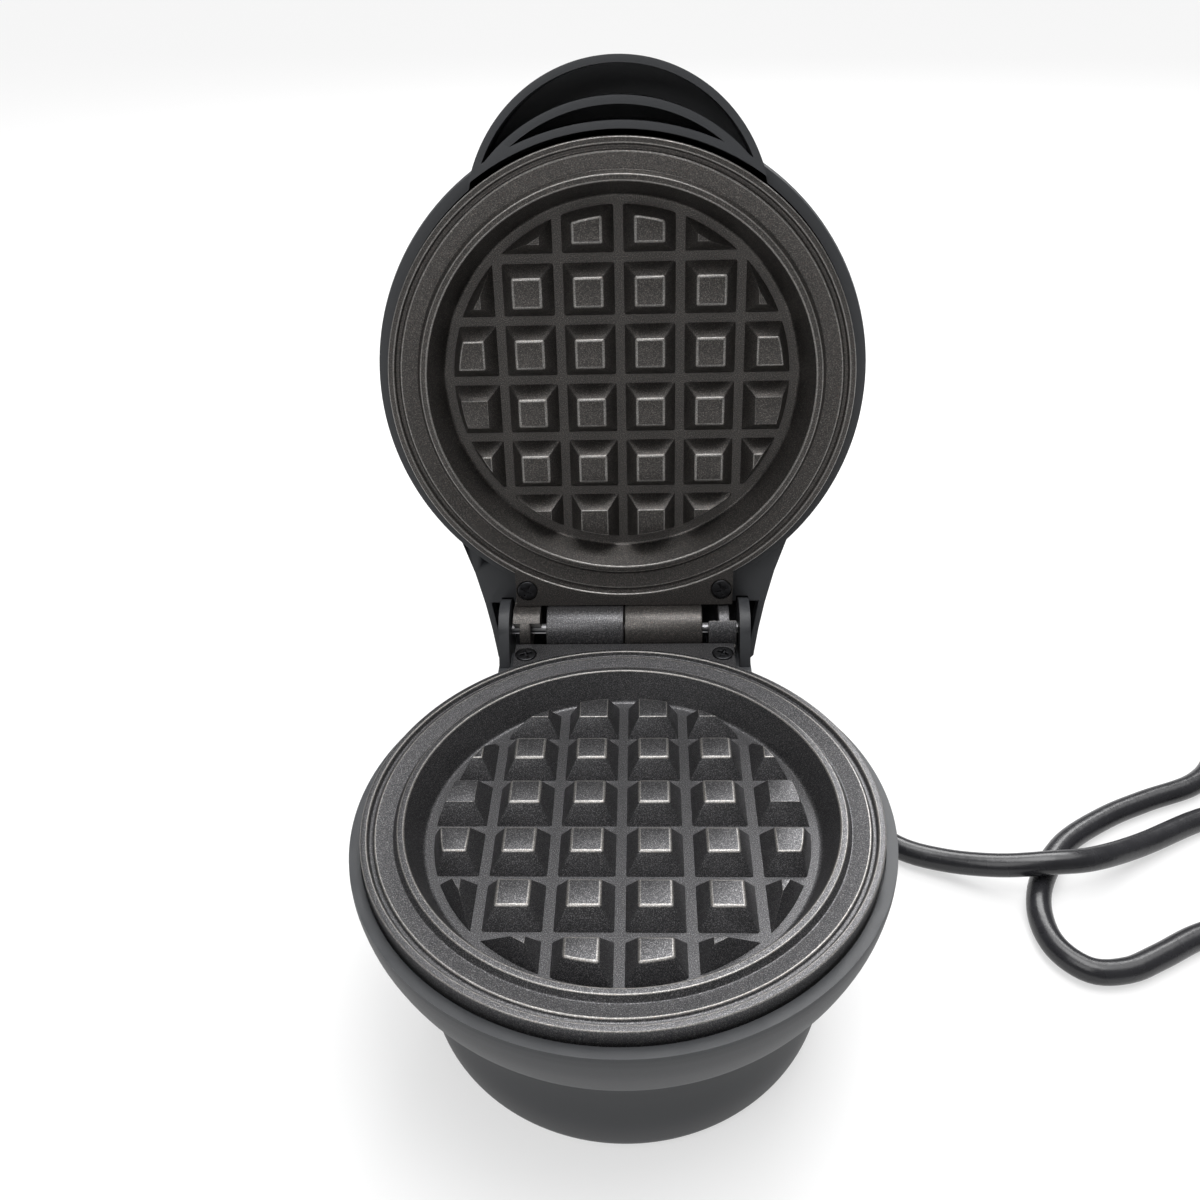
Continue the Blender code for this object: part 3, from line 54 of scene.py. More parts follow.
# Cooking plate
plate_height = 0.0520
grid_pitch = 0.0156
grid_count = 6
grid_shift = 0.0005
tooth_base_width = 0.0132
tooth_top_width = 0.0073
tooth_height = 0.0054
tooth_circle_base_radius = 0.0445
tooth_circle_top_radius = 0.0424
tooth_rounding = 0.00045
tooth_sunk = 0.0005
tooth_cone_overrun = 0.0010
edge_run = 0.00022
plate_wall = 0.0022
floor_radius = 0.0470
lip_inner_radius = 0.0505
lip_outer_radius = 0.0521
lip_height = 0.0084
land_inner_radius = 0.0531
land_inner_height = 0.0069
land_outer_radius = 0.0572
land_outer_height = 0.0081
groove_height = 0.0074
bead_inner_radius = 0.0589
bead_outer_radius = 0.0605
bead_height = 0.0086
skirt_bottom = 0.0030
skirt_wall = 0.0015
rim_underside = 0.0047
lip_wall = 0.0010
groove_side = 0.0004
groove_roundings = (0.0004,) * 6
dish_roundings = (0, 0.0012, 0.0005, *groove_roundings, 0.0005, 0.0002, 0.0002, 0, 0, 0, 0)
tab_half_width = 0.0305
tab_back = 0.0622
tab_top = 0.0088
tab_thickness = 0.0040
tab_overlap = 0.0010

# Hinge
hinge_y = 0.0693
hinge_z = 0.0092
barrel_radius = 0.0068
barrel_half_length = 0.0219
knuckle_inner_x = 0.0237
knuckle_outer_x = 0.0313
knuckle_stem_inner_x = 0.0264
knuckle_stem_outer_x = 0.0295
knuckle_stem_radius = 0.0066
knuckle_low_deg = -100.0
knuckle_high_deg = 51.0
open_deg = 98.4
barrel_end_gap = 0.00015
web_overlap = 0.0008
web_step = 0.0004
knuckle_step = 0.0002

# Plate screws
plate_screw_x = 0.0273
plate_screw_y = 0.0575
screw_head_radius = 0.00275
screw_head_height = 0.0010
screw_shank_radius = 0.0015
screw_recess_depth = 0.0009
screw_length = 0.0095
cross_length = 0.0034
cross_width = 0.0007
cross_depth = 0.0007
cross_middle_depth = 0.0003
screw_turn_left = 23.0
screw_turn_right = 63.0

# Housings
housing_top = 0.0045
rim_radius = 0.0635
plate_bore = 0.0609
ledge_height = 0.0027
ledge_bore = 0.0588
post_radius = 0.0036
post_length = 0.0170

# Lower housing
base_wall = 0.0026
base_height = 0.0554
bowl_radius_shares = (1.0, 1.002, 0.986, 0.942, 0.876, 0.813, 0.783, 0.784, 0.798, 0.791, 0.775, 0.754)
bowl_depth_shares = (0.0, 0.045, 0.153, 0.289, 0.402, 0.493, 0.569, 0.668, 0.818, 0.921, 0.977, 1.0)
block_half_width = 0.0353
block_back = 0.0650
block_front = 0.0300
block_depth = 0.0300
block_depth_shares = (0.42, 0.75, 1.0)
block_reach_shares = (1.0, 0.87, 0.55)
block_wall = 0.0026
deck_thickness = 0.0042
ear_outer_x = 0.0351
ear_inner_x = 0.0322
ear_radius = 0.0085
ear_front = 0.0575
ear_foot = 0.0045
ear_clearance = 0.0006
lead_slot_half_width = 0.0060
lead_slot_height = 0.0052
cover_bore = 0.04688
cover_ledge_bore = 0.04548
cover_ledge_height = 0.0018
cover_recess = 0.0027
relief_neck_radius = 0.0042
relief_neck_length = 0.0040
cord_hole_depth = 0.0080

# Lid housing
lid_wall = 0.0017
lid_depth = 0.0340
dome_radius_shares = (1.0, 1.008, 0.998, 0.969, 0.906, 0.795, 0.630, 0.394, 0.0)
dome_depth_shares = (0.0, 0.095, 0.257, 0.446, 0.635, 0.797, 0.905, 0.973, 1.0)
neck_back = 0.0828
neck_lip_low = -0.0010
neck_lip_corner = 0.0035
neck_root_half = 0.0402
neck_waist_half = 0.0380
neck_waist_y = 0.0780
neck_end_half = 0.0372
neck_lip = 0.0087
neck_lip_y = 0.0640
lid_deck_back = 0.0634
handle_radius = 0.0372
handle_centre_y = 0.0405
handle_rim = 0.0080
handle_wall = 0.0017
handle_depth = 0.0210
handle_radius_shares = (1.0, 1.0, 0.96, 0.85, 0.0)
handle_depth_shares = (0.0, 0.55, 0.78, 0.93, 1.0)
handle_pocket_depth = 0.0145
inner_rib_radius = 0.0638
inner_rib_wall = 0.0018
middle_rib_radius = 0.0431
middle_rib_centre_y = 0.0261
middle_rib_wall = 0.0019
lens_radius = 0.0030
lens_y = -0.0120
lens_bore_depth = 0.0070

# Mains cord
cord_radius = 0.0033
cord_exit_height = 0.0140
relief_length = 0.0260
relief_tip_radius = 0.0040
relief_collar_radius = 0.0054
relief_collar_thickness = 0.0030
coil_mid_radius = 0.0345
coil_pitch = 0.0074
coil_layer = 0.0072
coil_turns = 1.5
coil_centre = (0.2050, -0.0245)
cord_crossing_rise = 0.0073
plug_length = 0.0290
plug_width = 0.0240
plug_height = 0.0125
plug_tail_length = 0.0140
plug_tail_radius = 0.0047

# Places of the two frames
open_cos = math.cos(math.radians(open_deg))
open_sin = math.sin(math.radians(open_deg))
shoulder_radius = rim_radius * dome_radius_shares[7]
shoulder_depth = lid_depth * dome_depth_shares[7] - housing_top
lid_back = hinge_y - (hinge_y + shoulder_radius) * open_cos + (hinge_z + shoulder_depth) * open_sin
plate_y = -(lid_back - rim_radius) / 2
base_bottom = housing_top - base_height
drum_radius = rim_radius * max(bowl_radius_shares[8:10])
table = -plate_height
cord_exit_z = table + cord_exit_height
base_place = Matrix.Translation((0, plate_y, plate_height))
lid_place = (
    base_place
    @ Matrix.Translation((0, hinge_y, hinge_z))
    @ Matrix.Rotation(-math.radians(open_deg), 4, "X")
    @ Matrix.Translation((0, -hinge_y, hinge_z))
    @ Matrix.Rotation(math.pi, 4, "Y")
)


# Camera


def camera():
    """The photo's view, solved from the plates' circles and grid."""
    elevation, yaw, roll = math.radians(34.09), math.radians(2.89), math.radians(-2.07)
    distance, aside, above = 0.2604, -0.0052, 0.0545
    focal_pixels, image_pixels = 1092.7, 1200
    back = Vector(
        (math.sin(yaw) * math.cos(elevation), -math.cos(yaw) * math.cos(elevation), math.sin(elevation))
    )
    right = Vector((math.cos(yaw), math.sin(yaw), 0))
    up = back.cross(right)
    side = right * math.cos(roll) + up * math.sin(roll)
    top = -right * math.sin(roll) + up * math.cos(roll)
    data = bpy.data.cameras.new("camera")
    data.sensor_width = 36
    data.lens = focal_pixels / image_pixels * data.sensor_width
    data.clip_start = 0.01
    eye = bpy.data.objects.new("camera", data)
    bpy.context.scene.collection.objects.link(eye)
    matrix = Matrix((side, top, back)).transposed().to_4x4()
    matrix.translation = back * distance + side * aside + top * above + Vector((0, plate_y, plate_height))
    eye.matrix_world = matrix
    bpy.context.scene.camera = eye


camera()


# Materials


class Nodes:
    """A material's node tree with short calls."""

    def __init__(self, name, colour, roughness, metallic=0.0, specular=0.5):
        self.material = bpy.data.materials.new(name)
        self.material.use_nodes = True
        self.tree = self.material.node_tree
        self.shader = self.tree.nodes["Principled BSDF"]
        self.shader.inputs["Base Color"].default_value = (*colour, 1)
        self.shader.inputs["Roughness"].default_value = roughness
        self.shader.inputs["Metallic"].default_value = metallic
        self.shader.inputs["Specular IOR Level"].default_value = specular
        self.coordinates = self.tree.nodes.new("ShaderNodeTexCoord").outputs["Object"]

    def add(self, kind, **settings):
        node = self.tree.nodes.new(kind)
        for key, value in settings.items():
            if key in node.inputs:
                node.inputs[key].default_value = value
            else:
                setattr(node, key, value)
        return node

    def link(self, output, target):
        self.tree.links.new(output, target)

    def noise(self, scale, detail=2.0, roughness=0.5, distortion=0.0):
        node = self.add(
            "ShaderNodeTexNoise", Scale=scale, Detail=detail, Roughness=roughness, Distortion=distortion
        )
        self.link(self.coordinates, node.inputs["Vector"])
        return node.outputs["Fac"]

    def ramp(self, source, stops):
        node = self.add("ShaderNodeValToRGB")
        self.link(source, node.inputs["Fac"])
        elements = node.color_ramp.elements
        while len(elements) < len(stops):
            elements.new(0.5)
        for element, (place, colour) in zip(elements, stops):
            element.position = place
            element.color = (*colour, 1) if isinstance(colour, tuple) else (colour, colour, colour, 1)
        return node.outputs["Color"]

    def mix(self, factor, first, second, blend="MIX"):
        node = self.add("ShaderNodeMix", data_type="RGBA", blend_type=blend)
        for value, index in ((factor, 0), (first, 6), (second, 7)):
            if isinstance(value, (int, float)):
                node.inputs[index].default_value = value
            elif isinstance(value, tuple):
                node.inputs[index].default_value = (*value, 1)
            else:
                self.link(value, node.inputs[index])
        return node.outputs[2]

    def colour(self, source):
        self.link(source, self.shader.inputs["Base Color"])

    def roughness(self, source, low, high):
        node = self.add("ShaderNodeMapRange")
        node.inputs["To Min"].default_value = low
        node.inputs["To Max"].default_value = high
        self.link(source, node.inputs["Value"])
        self.link(node.outputs["Result"], self.shader.inputs["Roughness"])

    def bump(self, source, distance, strength=1.0):
        node = self.add("ShaderNodeBump", Distance=distance, Strength=strength)
        self.link(source, node.inputs["Height"])
        if self.shader.inputs["Normal"].is_linked:
            self.link(self.shader.inputs["Normal"].links[0].from_socket, node.inputs["Normal"])
        self.link(node.outputs["Normal"], self.shader.inputs["Normal"])


def housing_material():
    """Charcoal plastic with a fine spark-eroded texture."""
    look = Nodes("housing_plastic", (0.040, 0.042, 0.046), 0.50)
    cloud = look.noise(35, 3)
    grain = look.noise(5200, 2, 0.6)
    look.colour(look.mix(cloud, (0.036, 0.038, 0.042), (0.046, 0.048, 0.052)))
    look.roughness(grain, 0.42, 0.58)
    look.bump(grain, 0.000035, 0.6)
    return look.material


def coating_material(name, dark, light, warm):
    """Cast aluminium under a speckled non-stick coating."""
    look = Nodes(name, dark, 0.40, 0.75)
    cloud = look.noise(60, 4)
    speck = look.ramp(look.noise(4200, 3, 0.75), [(0.50, 0.0), (0.68, 1.0)])
    fleck = look.ramp(look.noise(2600, 2, 0.7), [(0.60, 0.0), (0.70, 1.0)])
    base = look.mix(cloud, dark, tuple(v * 1.25 for v in dark))
    base = look.mix(speck, base, light)
    look.colour(look.mix(fleck, base, warm))
    look.roughness(look.noise(900, 3), 0.30, 0.50)
    look.bump(look.noise(3000, 3, 0.6), 0.00004, 0.7)
    look.bump(look.noise(420, 2), 0.00008, 0.35)
    return look.material


def metal_material(name, colour, low, high, scale=900):
    """Bare or blackened metal with fine wear."""
    look = Nodes(name, colour, (low + high) / 2, 1.0)
    worn = look.noise(scale, 4, 0.6)
    look.colour(look.mix(worn, tuple(v * 0.85 for v in colour), tuple(min(v * 1.12, 1) for v in colour)))
    look.roughness(worn, low, high)
    look.bump(look.noise(scale * 3, 2), 0.00002, 0.5)
    return look.material


def cord_material():
    """Glossy black PVC, slightly uneven."""
    look = Nodes("cord_pvc", (0.016, 0.016, 0.018), 0.22)
    haze = look.noise(160, 3)
    look.colour(look.mix(haze, (0.013, 0.013, 0.015), (0.024, 0.024, 0.027)))
    look.roughness(haze, 0.20, 0.34)
    look.bump(look.noise(420, 2), 0.00012, 0.5)
    return look.material


def plain_material(name, colour, low, high, grain_scale, transmission=0.0):
    """Rubber, ceramic, sleeving or clear plastic with a little unevenness."""
    look = Nodes(name, colour, (low + high) / 2)
    look.shader.inputs["Transmission Weight"].default_value = transmission
    cloud = look.noise(grain_scale / 20, 3)
    look.colour(look.mix(cloud, tuple(v * 0.88 for v in colour), tuple(min(v * 1.10, 1) for v in colour)))
    look.roughness(cloud, low, high)
    look.bump(look.noise(grain_scale, 2), 0.00003, 0.5)
    return look.material


def sleeving_material():
    """Woven glass sleeving over the leads."""
    look = Nodes("lead_sleeving", (0.74, 0.72, 0.66), 0.8)
    weave = look.add("ShaderNodeTexWave", bands_direction="DIAGONAL", Scale=900.0, Distortion=1.0)
    look.link(look.coordinates, weave.inputs["Vector"])
    look.colour(look.mix(weave.outputs["Fac"], (0.60, 0.58, 0.52), (0.80, 0.78, 0.72)))
    look.bump(weave.outputs["Fac"], 0.00006, 0.6)
    return look.material


coatings = {
    "plate_coating": ((0.046, 0.046, 0.049), (0.30, 0.295, 0.30), (0.10, 0.09, 0.085)),
    "upper_coating": ((0.050, 0.048, 0.047), (0.25, 0.23, 0.21), (0.12, 0.09, 0.08)),
    # Edge look, much brighter than the plain coating: worn coating plus a painted highlight along the rounded
    # edges.
    "plate_edge_wear_and_highlight": ((0.17, 0.165, 0.16), (0.62, 0.60, 0.57), (0.32, 0.26, 0.22)),
}
looks = {
    "housing_plastic": housing_material(),
    **{name: coating_material(name, *colours) for name, colours in coatings.items()},
    "black_steel": metal_material("black_steel", (0.045, 0.045, 0.048), 0.30, 0.50),
    "bright_steel": metal_material("bright_steel", (0.38, 0.38, 0.39), 0.30, 0.45),
    "sheet_aluminium": metal_material("sheet_aluminium", (0.70, 0.70, 0.71), 0.28, 0.46, 400),
    "foot_rubber": plain_material("foot_rubber", (0.030, 0.030, 0.031), 0.70, 0.90, 1800),
    "cord_pvc": cord_material(),
    "white_ceramic": plain_material("white_ceramic", (0.80, 0.79, 0.75), 0.35, 0.55, 900),
    "lead_sleeving": sleeving_material(),
    "lens_amber": plain_material("lens_amber", (0.75, 0.22, 0.05), 0.08, 0.18, 600, 0.6),
    "lamp_glass": plain_material("lamp_glass", (0.85, 0.80, 0.74), 0.05, 0.12, 600, 0.8),
}


def paint_nodes():
    """Every carried node takes the look of its record slot."""
    slots = {entry["node"]: entry["material_slot"] for entry in frame["record"]["subparts"]}
    for name, node in frame["nodes"].items():
        look = looks[slots[name]]
        node.data.materials.clear()
        node.data.materials.append(look)


paint_nodes()


# Shape helpers


def mesh_of(shape):
    """A bmesh as a mesh with its faces pointing out."""
    bmesh.ops.recalc_face_normals(shape, faces=shape.faces)
    mesh = bpy.data.meshes.new("shape")
    shape.to_mesh(mesh)
    shape.free()
    return mesh


def thing(name, mesh, place=None):
    """An object with that mesh, put in place."""
    made = bpy.data.objects.new(name, mesh)
    bpy.context.scene.collection.objects.link(made)
    if place is not None:
        made.matrix_world = place
    return made


def smooth_curve(knots, per_span):
    """Points of a smooth curve through the knots, which may have 2 or 3 coordinates."""
    knots = [Vector(k) for k in knots]
    ends = [2 * knots[0] - knots[1], *knots, 2 * knots[-1] - knots[-2]]
    points = []
    for a, b, c, d in zip(ends, ends[1:], ends[2:], ends[3:]):
        for i in range(per_span):
            t = i / per_span
            square = (2 * a - 5 * b + 4 * c - d) * t * t
            cube = (3 * b - a - 3 * c + d) * t * t * t
            points.append(0.5 * (2 * b + (c - a) * t + square + cube))
    points.append(knots[-1])
    return points


def rounded(points, radius, segments=4, closed=False, skip=()):
    """A polyline with its corners rounded by arcs of up to that radius."""
    points = [Vector(p) for p in points]
    count = len(points)
    made = []
    for i, corner in enumerate(points):
        if i in skip or not closed and i in (0, count - 1):
            made.append(corner)
            continue
        before, after = points[i - 1] - corner, points[(i + 1) % count] - corner
        reach_in, reach_out = before.length, after.length
        before.normalize()
        after.normalize()
        turn = before.angle(after)
        if turn > math.radians(176):
            made.append(corner)
            continue
        setback = min(radius / math.tan(turn / 2), 0.45 * reach_in, 0.45 * reach_out)
        start, end = corner + before * setback, corner + after * setback
        for j in range(segments + 1):
            t = j / segments
            made.append((1 - t) ** 2 * start + 2 * t * (1 - t) * corner + t * t * end)
    return made


def lathe(profile, steps=160, closed=False, centre=(0, 0)):
    """A profile of (radius, height) turned about a vertical axis."""
    shape = bmesh.new()
    rings = []
    for radius, height in profile:
        if radius < 1e-7:
            rings.append([shape.verts.new((centre[0], centre[1], height))])
            continue
        ring = []
        for i in range(steps):
            angle = 2 * math.pi * i / steps
            ring.append(
                shape.verts.new(
                    (centre[0] + radius * math.cos(angle), centre[1] + radius * math.sin(angle), height)
                )
            )
        rings.append(ring)
    pairs = list(zip(rings, rings[1:]))
    if closed:
        pairs.append((rings[-1], rings[0]))
    for upper, lower in pairs:
        for i in range(steps):
            j = (i + 1) % steps
            if len(upper) == 1 and len(lower) == 1:
                continue
            if len(upper) == 1:
                shape.faces.new((upper[0], lower[i], lower[j]))
            elif len(lower) == 1:
                shape.faces.new((upper[i], lower[0], upper[j]))
            else:
                shape.faces.new((upper[i], lower[i], lower[j], upper[j]))
    return mesh_of(shape)


def prism(outline, low, high, along="Z"):
    """An outline made as thick as from low to high, along Z, or along X with (y, z) points."""
    shape = bmesh.new()
    count = len(outline)
    levels = []
    for level in (low, high):
        if along == "Z":
            levels.append([shape.verts.new((u, v, level)) for u, v in outline])
        else:
            levels.append([shape.verts.new((level, u, v)) for u, v in outline])
    for i in range(count):
        j = (i + 1) % count
        shape.faces.new((levels[0][i], levels[0][j], levels[1][j], levels[1][i]))
    caps = [shape.faces.new(levels[0]), shape.faces.new(levels[1])]
    if count > 4:
        bmesh.ops.triangulate(shape, faces=caps)
    return mesh_of(shape)


def box(low, high):
    (x0, y0, z0), (x1, y1, z1) = low, high
    return prism([(x0, y0), (x1, y0), (x1, y1), (x0, y1)], z0, z1)


def rod(start, end, radius, steps=64, edge=0.0):
    """A round bar between two points, its ends chamfered."""
    start, end = Vector(start), Vector(end)
    length = (end - start).length
    profile = [(0, length), (radius, length), (radius, 0), (0, 0)]
    if edge:
        profile = rounded(profile, edge, 3)
    mesh = lathe([(p[0], p[1]) for p in profile], steps)
    turn = (end - start).to_track_quat("Z", "Y").to_matrix().to_4x4()
    mesh.transform(Matrix.Translation(start) @ turn)
    return mesh


def arc(centre_x, centre_y, radius, start_deg, end_deg, count):
    angles = [math.radians(start_deg + (end_deg - start_deg) * i / (count - 1)) for i in range(count)]
    return [(centre_x + radius * math.cos(a), centre_y + radius * math.sin(a)) for a in angles]


def joined(meshes):
    """Several closed meshes in one."""
    shape = bmesh.new()
    for mesh in meshes:
        shape.from_mesh(mesh)
    made = bpy.data.meshes.new("joined")
    shape.to_mesh(made)
    shape.free()
    return made


def evaluated(obj):
    """The object's mesh with its modifiers, and the object removed."""
    depsgraph = bpy.context.evaluated_depsgraph_get()
    mesh = bpy.data.meshes.new_from_object(obj.evaluated_get(depsgraph))
    bpy.data.objects.remove(obj, do_unlink=True)
    return mesh


def combine(mesh, steps):
    """A mesh after Boolean steps, each an operation and a tool mesh."""
    for operation, tool_mesh in steps:
        body, tool = thing("body", mesh), thing("tool", tool_mesh)
        change = body.modifiers.new("change", "BOOLEAN")
        change.operation = operation
        change.solver = "EXACT"
        change.object = tool
        bpy.context.view_layer.update()
        mesh = evaluated(body)
        bpy.data.objects.remove(tool, do_unlink=True)
    return mesh


def softened(mesh, width, segments=2, angle=38, edge=False):
    """A mesh with its sharp edges rounded, on request with the second material on them: the bright edge look
    of worn coating with a painted highlight.
    """
    shape = bmesh.new()
    shape.from_mesh(mesh)
    bmesh.ops.remove_doubles(shape, verts=shape.verts, dist=2e-6)
    bmesh.ops.dissolve_degenerate(shape, dist=2e-6, edges=shape.edges)
    shape.to_mesh(mesh)
    shape.free()
    if edge:
        mesh.materials.append(looks["plate_coating"])
        mesh.materials.append(looks["plate_edge_wear_and_highlight"])
    body = thing("body", mesh)
    bevel = body.modifiers.new("edges", "BEVEL")
    bevel.material = 1 if edge else -1
    bevel.width = width
    bevel.segments = segments
    bevel.limit_method = "ANGLE"
    bevel.angle_limit = math.radians(angle)
    bevel.use_clamp_overlap = True
    bevel.miter_outer = "MITER_ARC"
    bpy.context.view_layer.update()
    return evaluated(body)


def finish_piece(name, mesh, place, body, look, nodes, sharp=30, edge=None):
    """A finished visible piece that stands for CAD nodes."""
    if edge is None:
        mesh.materials.clear()
    mesh.materials.append(looks[look])
    if edge is not None:
        mesh.materials.append(looks[edge])
    mesh.shade_smooth()
    mesh.set_sharp_from_angle(angle=math.radians(sharp))
    piece = thing(name, mesh, place)
    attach(piece, body)
    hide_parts(*nodes)
    return piece


# Mains cord

cord_rest = table + cord_radius
relief_tip_y = drum_radius + seat_gap + relief_length


def cord_run_knots():
    """The free cord from the strain relief to the coil, in the plate's frame."""
    start = relief_tip_y + seat_gap
    hump = cord_rest + cord_crossing_rise
    coil_start = coil_route()[0]
    lie = cord_rest
    return [
        (0, start, cord_exit_z),
        (0, start + 2 * cord_radius, cord_exit_z),
        (0.0030, 0.0930, -0.0405),
        (0.0110, 0.1025, -0.0440),
        (0.0230, 0.1070, -0.0470),
        (0.0370, 0.1050, lie),
        (0.0490, 0.0960, lie),
        (0.0575, 0.0830, lie),
        (0.0625, 0.0680, lie),
        (0.0685, 0.0530, lie),
        (0.0780, 0.0405, lie),
        (0.0900, 0.0340, lie + 0.0012),
        (0.1040, 0.0290, lie + 0.0045),
        (0.1180, 0.0275, hump),
        (0.1300, 0.0300, hump - 0.0012),
        (0.1470, 0.0390, lie + 0.0020),
        (0.1690, 0.0508, lie),
        (0.1860, 0.0552, lie),
        (0.2040, 0.0562, lie),
        (0.2230, 0.0602, lie),
        (0.2370, 0.0725, lie),
        (0.2405, 0.0890, lie),
        (0.2320, 0.1035, lie),
        (0.2160, 0.1090, lie),
        (0.2010, 0.1035, lie),
        (0.1915, 0.0910, lie),
        (0.1840, 0.0765, lie),
        (0.1735, 0.0660, lie),
        (0.1562, 0.0587, lie),
        (0.1416, 0.0516, lie),
        (0.1266, 0.0412, lie),
        (0.1165, 0.0280, lie),
        (0.1122, 0.0160, lie),
        (0.1130, 0.0050, lie),
        (0.1195, -0.0022, lie),
        (0.1290, -0.0022, lie),
        (0.1390, 0.0022, lie),
        (0.1517, 0.0087, lie),
        (0.1660, 0.0130, lie),
        (0.1810, 0.0142, lie),
        (coil_start.x - 2 * cord_radius - seat_gap, coil_start.y, lie),
    ]


def coil_route():
    """The coil: in along the table, up a layer where the spiral turns, and out again on top."""
    per_turn = 24
    steps = round(coil_turns * per_turn)
    climb = per_turn // 2
    first = (steps - climb) / 2
    outer = coil_mid_radius + coil_pitch * coil_turns / 4
    points = []
    for i in range(steps + 1):
        angle = math.pi / 2 - 2 * math.pi * i / per_turn
        back = abs(i - steps / 2)
        radius = outer - coil_pitch * (steps / 2 - back) / per_turn
        rise = min(max((i - first) / climb, 0), 1)
        rise = rise * rise * (3 - 2 * rise)
        x = coil_centre[0] + radius * math.cos(angle)
        y = coil_centre[1] + radius * math.sin(angle)
        points.append(Vector((x, y, cord_rest + coil_layer * rise)))
    aside = Vector((-2 * cord_radius, 0, 0))
    return [points[0] + aside, *points, points[-1] + aside]


def plug_way():
    """The plug's direction, from its tail to its blades."""
    return Vector((-0.94, -0.34, 0)).normalized()


def plug_tail_end():
    """Where the cord enters the plug, lying on the table."""
    end = coil_route()[-1]
    return Vector((end.x - 0.0340, end.y - 0.0045, table + plug_height / 2))


def cord_tail_knots():
    """From the coil's top layer down to the plug on the table."""
    end = coil_route()[-1]
    plug = plug_tail_end()
    way = plug_way()
    return [
        (end.x - seat_gap - 2 * cord_radius, end.y, end.z),
        (end.x - 0.0180, end.y - 0.0010, cord_rest + 0.5 * coil_layer),
        tuple(plug - way * (2 * cord_radius + seat_gap)),
        tuple(plug - way * seat_gap),
    ]


def cord():
    """One unbroken lead from the strain relief by way of the coil to the plug."""
    knots = [*cord_run_knots(), *coil_route(), *cord_tail_knots()]
    points = smooth_curve(knots, 6)
    curve = bpy.data.curves.new("mains_cord", "CURVE")
    curve.dimensions = "3D"
    curve.bevel_depth = cord_radius
    curve.bevel_resolution = 6
    curve.use_fill_caps = True
    spline = curve.splines.new("POLY")
    spline.points.add(len(points) - 1)
    for point, place in zip(spline.points, points):
        point.co = (*(base_place @ place), 1)
    spline.use_smooth = True
    curve.materials.append(looks["cord_pvc"])
    lead = bpy.data.objects.new("mains_cord", curve)
    bpy.context.scene.collection.objects.link(lead)
    length = sum((b - a).length for a, b in zip(points, points[1:]))
    print("cord length", round(length, 4))
    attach(lead, "base")
    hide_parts("cord_run", "cord_coil", "cord_tail")
    return lead, length


def plug():
    """A moulded two-blade plug with rounded edges and a ribbed tail."""
    half_w, half_h = plug_width / 2, plug_height / 2
    start, end = plug_tail_length, plug_tail_length + plug_length
    shoulder = plug_length / 3
    outline = [
        (start, -plug_tail_radius),
        (start + shoulder, -half_w),
        (end, -half_w),
        (end, half_w),
        (start + shoulder, half_w),
        (start, plug_tail_radius),
    ]
    outline = [tuple(p) for p in rounded(outline, 0.004, 5, closed=True)]
    body = softened(prism(outline, -half_h, half_h), 0.0022, 4)
    ribs = 6
    profile = [(0, 0)]
    for i in range(ribs):
        low = start * i / ribs
        high = start * (i + 0.62) / ribs
        radius = relief_tip_radius + (plug_tail_radius - relief_tip_radius) * i / ribs
        groove = radius * 0.86
        profile += [(radius, low), (radius, high), (groove, high), (groove, start * (i + 1) / ribs)]
    profile += [(plug_tail_radius, start), (plug_tail_radius, start + shoulder), (0, start + shoulder)]
    tail = lathe(list(reversed(profile)), 48)
    tail.transform(Matrix.Rotation(math.pi / 2, 4, "Y"))
    way = plug_way()
    turn = Matrix.Rotation(math.atan2(way.y, way.x), 4, "Z")
    place = base_place @ Matrix.Translation(plug_tail_end()) @ turn
    return finish_piece("mains_plug", joined([body, tail]), place, "base", "cord_pvc", ["plug_body"])


mains_cord, cord_length = cord()
mains_plug = plug()


def strain_relief():
    """Collar at the wall and a ribbed taper round the cord."""
    collar = drum_radius + seat_gap
    tip = collar + relief_length
    start = collar + relief_collar_thickness
    ribs = 7
    inside = collar - relief_neck_length
    flange = [
        (relief_neck_radius, collar),
        (relief_collar_radius, collar),
        (relief_collar_radius, start),
        (relief_neck_radius, start),
    ]
    profile = [(0, inside), (relief_neck_radius, inside), (relief_neck_radius, collar)]
    profile += [tuple(p) for p in rounded(flange, 0.0006, 3)]
    for i in range(ribs):
        low = start + (tip - start) * i / ribs
        high = start + (tip - start) * (i + 0.6) / ribs
        end = start + (tip - start) * (i + 1) / ribs
        radius = relief_collar_radius + (relief_tip_radius - relief_collar_radius) * (i + 0.5) / ribs
        if i:
            profile.append((radius, low))
        profile += [(radius, high), (radius * 0.87, high + 0.0002), (radius * 0.87, end)]
    profile += [(relief_tip_radius, tip), (0, tip)]
    mesh = lathe(list(reversed(profile)), 64)
    mesh.transform(Matrix.Translation((0, 0, cord_exit_z)) @ Matrix.Rotation(-math.pi / 2, 4, "X"))
    finish_piece("cord_boot", mesh, base_place, "base", "cord_pvc", ["cord_strain_relief"])


strain_relief()


# Cooking plates


def tooth(x, y):
    """One blunt pyramid, sunk a little into the floor."""
    draft_share = (tooth_base_width - tooth_top_width) / 2 / tooth_height
    low, high = tooth_base_width / 2 + draft_share * tooth_sunk, tooth_top_width / 2
    corners = ((-1, -1), (1, -1), (1, 1), (-1, 1))
    shape = bmesh.new()
    bottom = [shape.verts.new((x + sx * low, y + sy * low, -tooth_sunk)) for sx, sy in corners]
    top = [shape.verts.new((x + sx * high, y + sy * high, tooth_height)) for sx, sy in corners]
    shape.faces.new(bottom)
    shape.faces.new(top)
    for i in range(4):
        j = (i + 1) % 4
        shape.faces.new((bottom[i], bottom[j], top[j], top[i]))
    return mesh_of(shape)


